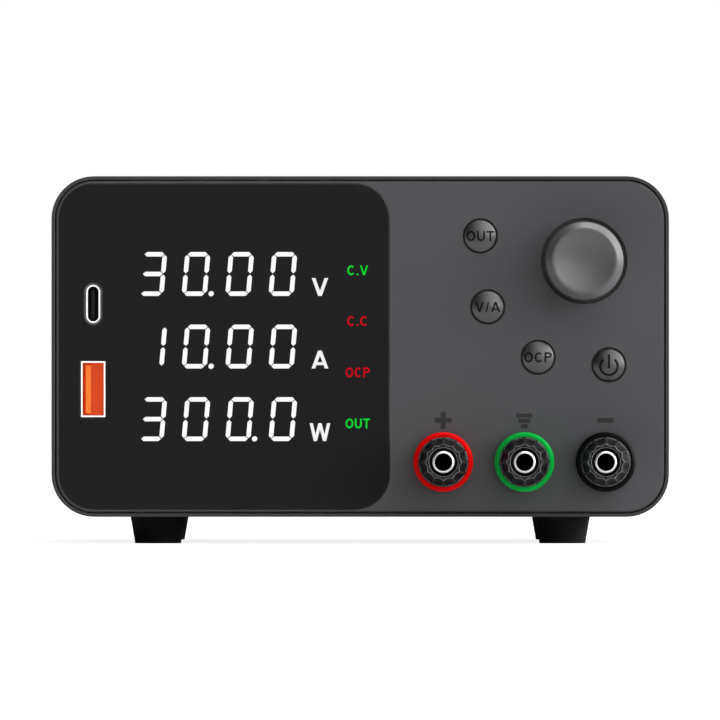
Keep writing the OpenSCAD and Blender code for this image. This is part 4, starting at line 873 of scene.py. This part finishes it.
lit_letter = glowing("Lit white unit letter", "#f4f4f4")
UNIT_X, UNIT_H = -9.45, 4.2
for name, text, width, row in (("unit_volt", "V", 3.9, 1), ("unit_ampere", "A", 4.0, 0),
                               ("unit_watt", "W", 4.9, -1)):
    level = MIDDLE / MM + row * ROW_PITCH - DIGIT_H / 2 + UNIT_H / 2
    sign(name, word(text, width, UNIT_H, 0.8), UNIT_X, level, lit_letter, "chassis")
print("unit letters", UNIT_H, "mm high")

# %% [markdown]
# Four small legends tell the mode: constant voltage, constant current, current protection and
# output. They are lit from behind, two in green and two in red.

# %% Mode legends
LEGEND_X, LEGEND_H = -0.6, 2.3
for name, text, width, up, finish in (
        ("legend_voltage_mode", "C.V", 4.9, 17.9, green_segment),
        ("legend_current_mode", "C.C", 4.9, 6.0, red_segment),
        ("legend_protection", "OCP", 5.7, -6.06, red_segment),
        ("legend_output", "OUT", 5.7, -18.05, green_segment)):
    sign(name, word(text, width, LEGEND_H, 0.4), LEGEND_X, MIDDLE / MM + up, finish, "chassis")
print("four legends at x", LEGEND_X)

# %% [markdown]
# The labels of the three small buttons are pressed into the domed caps and filled with dark ink.
# A thin sheet of letters laid on the dome reads the same: each vertex stands back from the
# dome's top by the sag of a sphere at its distance from the axis.

# %% Labels on the buttons
ink = moulded("Dark label ink", "#0b0b0c", "#0f0f10", 0.6, edge=0.02, specular=0.1)
LABEL_PROUD = 0.03


def on_dome(reach):
    """How far a button's dome stands out of the front plane at a point beside its axis."""
    return lambda across, up: reach - dome_r + math.sqrt(dome_r ** 2 - across ** 2 - up ** 2)


for node, text, width in (
        ("out_button", "OUT", 6.5), ("select_button", "V/A", 5.9), ("limit_button", "OCP", 6.5)):
    x, z, reach = centre_of(node)
    sign(node + "_label", word(text, width, 2.4, 0.42), x, z, ink, node,
         height=LABEL_PROUD, out_at=on_dome(reach))
print("labels stand", LABEL_PROUD, "mm proud")

# %% [markdown]
# The power button carries the usual sign: a ring open at the top with a bar through the gap.

# %% Sign on the power button
RING_R, RING_DOWN = 2.05, 0.3
ring = arc(0, -RING_DOWN, RING_R, RING_R, 130, 410, 32)
x, z, reach = centre_of("power_button")
sign("power_button_label", [(ring, 0.55), (line((0, 2.5), (0, -0.8)), 0.55)], x, z, ink,
     "power_button", height=LABEL_PROUD, out_at=on_dome(reach))
print("power sign on a ring of", RING_R, "mm")

# %% [markdown]
# Over the terminals stand a plus, an earth sign and a minus in a darker grey than the panel:
# ink printed on the plastic, 4 mm wide or less.

# %% Signs above the terminals
print_ink = moulded("Dark grey panel ink", "#272729", "#2b2b2d", 0.6, edge=0.02, specular=0.2)
SIGN_UP = -17.3
for tint, strips in (
        ("red", [([(-2.0, 0), (2.0, 0)], 1.1), ([(0, -2.0), (0, -0.551)], 1.1),
                 ([(0, 0.551), (0, 2.0)], 1.1)]),
        ("green", [([(-1.88, 1.1), (1.88, 1.1)], 0.93), ([(-1.38, -0.15), (1.38, -0.15)], 0.93),
                   ([(-0.8, -1.4), (0.8, -1.4)], 0.93)]),
        ("black", [([(-1.9, 0), (1.9, 0)], 1.1)])):
    x, _, _ = centre_of(tint + "_post_base")
    sign(tint + "_terminal_sign", strips, x, MIDDLE / MM + SIGN_UP, print_ink, "chassis")
print("three signs", -SIGN_UP, "mm below the middle")

# %% [markdown]
# Round the small charging port the window has a printed grey frame, half a millimetre wide with
# round ends, and a black line round that. Each is a closed strip along the outline of a slot.

# %% Frame of the small port
port_x, port_z, _ = centre_of("usb_c_shell")
HALF_L = 2.8


def slot_outline(r):
    """Closed outline of a slot with round ends."""
    points = arc(0, HALF_L, r, r, 0, 180, 24) + arc(0, -HALF_L, r, r, 180, 360, 24)
    return points + [points[0]]


FRAME_R, FRAME_W, LINE_R, LINE_W = 1.88, 0.4, 2.15, 0.12
frame_ink = moulded("Grey window ink", "#3e3e40", "#434345", 0.45, edge=0.02)
line_ink = moulded("Black window ink", "#060606", "#0a0a0a", 0.6, edge=0.02)
for name, r, width, finish in (("usb_c_frame", FRAME_R, FRAME_W, frame_ink),
                               ("usb_c_frame_line", LINE_R, LINE_W, line_ink)):
    sign(name, [(slot_outline(r), width)], port_x, port_z, finish, "chassis")
print("frame", 2 * LINE_R + LINE_W, "mm wide")

# %% [markdown]
# The light is a plain studio: a grey room, one large soft box far to the right that gives the
# shapes their modelling, a weak one above that draws the line along the case's top edge, and
# one behind for the back. A lamp's power is worked out from the wanted brightness: a surface
# that faces it gets power / (pi x distance squared), and divided by pi that is the share of its
# own colour that it sends on.

# %% Lamps
def soft_box(name, place, size, share, target=(0, 0, 0.045)):
    """A square soft box aimed at the object; share is what it adds to a facing surface."""
    lamp = bpy.data.lights.new(name, "AREA")
    lamp.size = size
    away = Vector(place) - Vector(target)
    lamp.energy = share * math.pi ** 2 * away.length ** 2
    thing = bpy.data.objects.new(name, lamp)
    thing.location = place
    thing.rotation_euler = away.to_track_quat("Z", "Y").to_euler()
    bpy.context.scene.collection.objects.link(thing)
    return round(lamp.energy, 1)


for name, place, size, share in (("Key soft box", (2.6, -0.95, 1.1), 1.7, 0.3),
                                 ("Top soft box", (0.2, -0.2, 2.4), 1.2, 0.35),
                                 ("Back soft box", (-1.2, 2.0, 1.3), 1.0, 0.45)):
    print(name, soft_box(name, place, size, share), "W")

# %% [markdown]
# The room itself is the world. It is brighter on the right than on the left, as a studio with
# one row of windows is, so every rounding has a bright and a dark side. Diffuse light comes
# from a mid grey room, reflections see a brighter one, and the camera sees plain white, so the
# background is white without more light on the object.
# Straight ahead hangs a dark cloth that only reflections see, and it runs on over the floor
# towards the object: it keeps the window as deep as it is in the photograph, as a black flag
# does in a studio. It is narrow, so that the rougher metals look past it and stay white.

# %% Room and dark cloth
world = bpy.data.worlds.new("Studio room")
bpy.context.scene.world = world
world.use_nodes = True
tree = world.node_tree
tree.nodes.clear()
path = add(tree, "ShaderNodeLightPath")
sky = add(tree, "ShaderNodeTexCoord").outputs["Generated"]
direction = add(tree, "ShaderNodeSeparateXYZ", {"Vector": sky})


def side_light(level, from_right):
    """Brightness that rises to the right."""
    right = add(tree, "ShaderNodeMath", [direction.outputs["X"], from_right, level],
                operation="MULTIPLY_ADD")
    return add(tree, "ShaderNodeMath", [right, 0.0], operation="MAXIMUM").outputs[0]


ROOM, MIRRORED = (0.82, 2.6), (1.6, 3.6)
grey = add(tree, "ShaderNodeBackground", {"Color": srgb("#ffffff"), "Strength": side_light(*ROOM)})
bright = add(tree, "ShaderNodeBackground", {"Color": srgb("#ffffff"), "Strength": side_light(*MIRRORED)})
white = add(tree, "ShaderNodeBackground", {"Color": srgb("#ffffff"), "Strength": 1.0})
lights = add(tree, "ShaderNodeMixShader", [path.outputs["Is Glossy Ray"], grey, bright])
sees = add(tree, "ShaderNodeMath", [path.outputs["Is Camera Ray"], path.outputs["Is Transmission Ray"]],
           operation="MAXIMUM")
room = add(tree, "ShaderNodeMixShader", [sees, lights, white])
add(tree, "ShaderNodeOutputWorld", {"Surface": room})
print("room", ROOM, "mirrored room", MIRRORED)


def flat_sheet(name, corners, material):
    """A backdrop or floor of one face, which isn't part of the object."""
    mesh = bpy.data.meshes.new(name)
    mesh.from_pydata(corners, [], [(0, 1, 2, 3)])
    mesh.materials.append(material)
    thing = bpy.data.objects.new(name, mesh)
    bpy.context.scene.collection.objects.link(thing)
    return thing


cloth, tree = empty_material("Dark studio cloth")
black = add(tree, "ShaderNodeEmission", {"Color": srgb("#181818"), "Strength": 1.0})
add(tree, "ShaderNodeOutputMaterial", {"Surface": black})
CLOTH_Y, CLOTH_NEAR, CLOTH_HALF, CLOTH_LOW, CLOTH_TOP = -5.4, -0.4, 0.5, 0.003, 0.55
for name, y, z in (("Dark cloth hanging", CLOTH_Y, CLOTH_TOP),
                   ("Dark cloth on the floor", CLOTH_NEAR, CLOTH_LOW)):
    corners = [(-CLOTH_HALF, CLOTH_Y, CLOTH_LOW), (CLOTH_HALF, CLOTH_Y, CLOTH_LOW),
               (CLOTH_HALF, y, z), (-CLOTH_HALF, y, z)]
    flag = flat_sheet(name, corners, cloth)
    for rays in ("camera", "diffuse", "transmission", "shadow"):
        setattr(flag, "visible_" + rays, False)
print("dark cloth", 2 * CLOTH_HALF, "m wide at y", CLOTH_Y)

# %% [markdown]
# The floor is plain and pale. For the camera most of its white is its own, so it stays white
# like the photograph's background, and the rest is lit, so that it still shows the object's
# shadow. Glass shows it as the camera does. The rest of the object sees it as pale grey cloth,
# which keeps the undersides of the roundings darker than their tops. From below it lets the
# camera through.

# %% Floor
FLOOR_OWN, FLOOR_LIT, FLOOR_PALE = 0.86, 0.28, 0.75
floor_finish, tree = empty_material("Pale studio floor")
own = add(tree, "ShaderNodeEmission", {"Color": srgb("#ffffff"), "Strength": FLOOR_OWN})
lit = add(tree, "ShaderNodeBsdfDiffuse", {"Color": (FLOOR_LIT, FLOOR_LIT, FLOOR_LIT, 1)})
pale = add(tree, "ShaderNodeBsdfDiffuse", {"Color": (FLOOR_PALE, FLOOR_PALE, FLOOR_PALE, 1)})
seen = add(tree, "ShaderNodeAddShader", [own, lit])
rays = add(tree, "ShaderNodeLightPath").outputs
direct = add(tree, "ShaderNodeMath", [rays["Is Camera Ray"], rays["Is Transmission Ray"]],
             operation="MAXIMUM")
front_face = add(tree, "ShaderNodeMixShader", [direct, pale, seen])
clear = add(tree, "ShaderNodeBsdfTransparent")
facing = add(tree, "ShaderNodeNewGeometry").outputs["Backfacing"]
both = add(tree, "ShaderNodeMixShader", [facing, front_face, clear])
add(tree, "ShaderNodeOutputMaterial", {"Surface": both})
FLOOR_HALF = 8.0
flat_sheet("Floor", [(-FLOOR_HALF, -FLOOR_HALF, 0), (FLOOR_HALF, -FLOOR_HALF, 0),
                     (FLOOR_HALF, FLOOR_HALF, 0), (-FLOOR_HALF, FLOOR_HALF, 0)], floor_finish)
print("floor", 2 * FLOOR_HALF, "m wide")
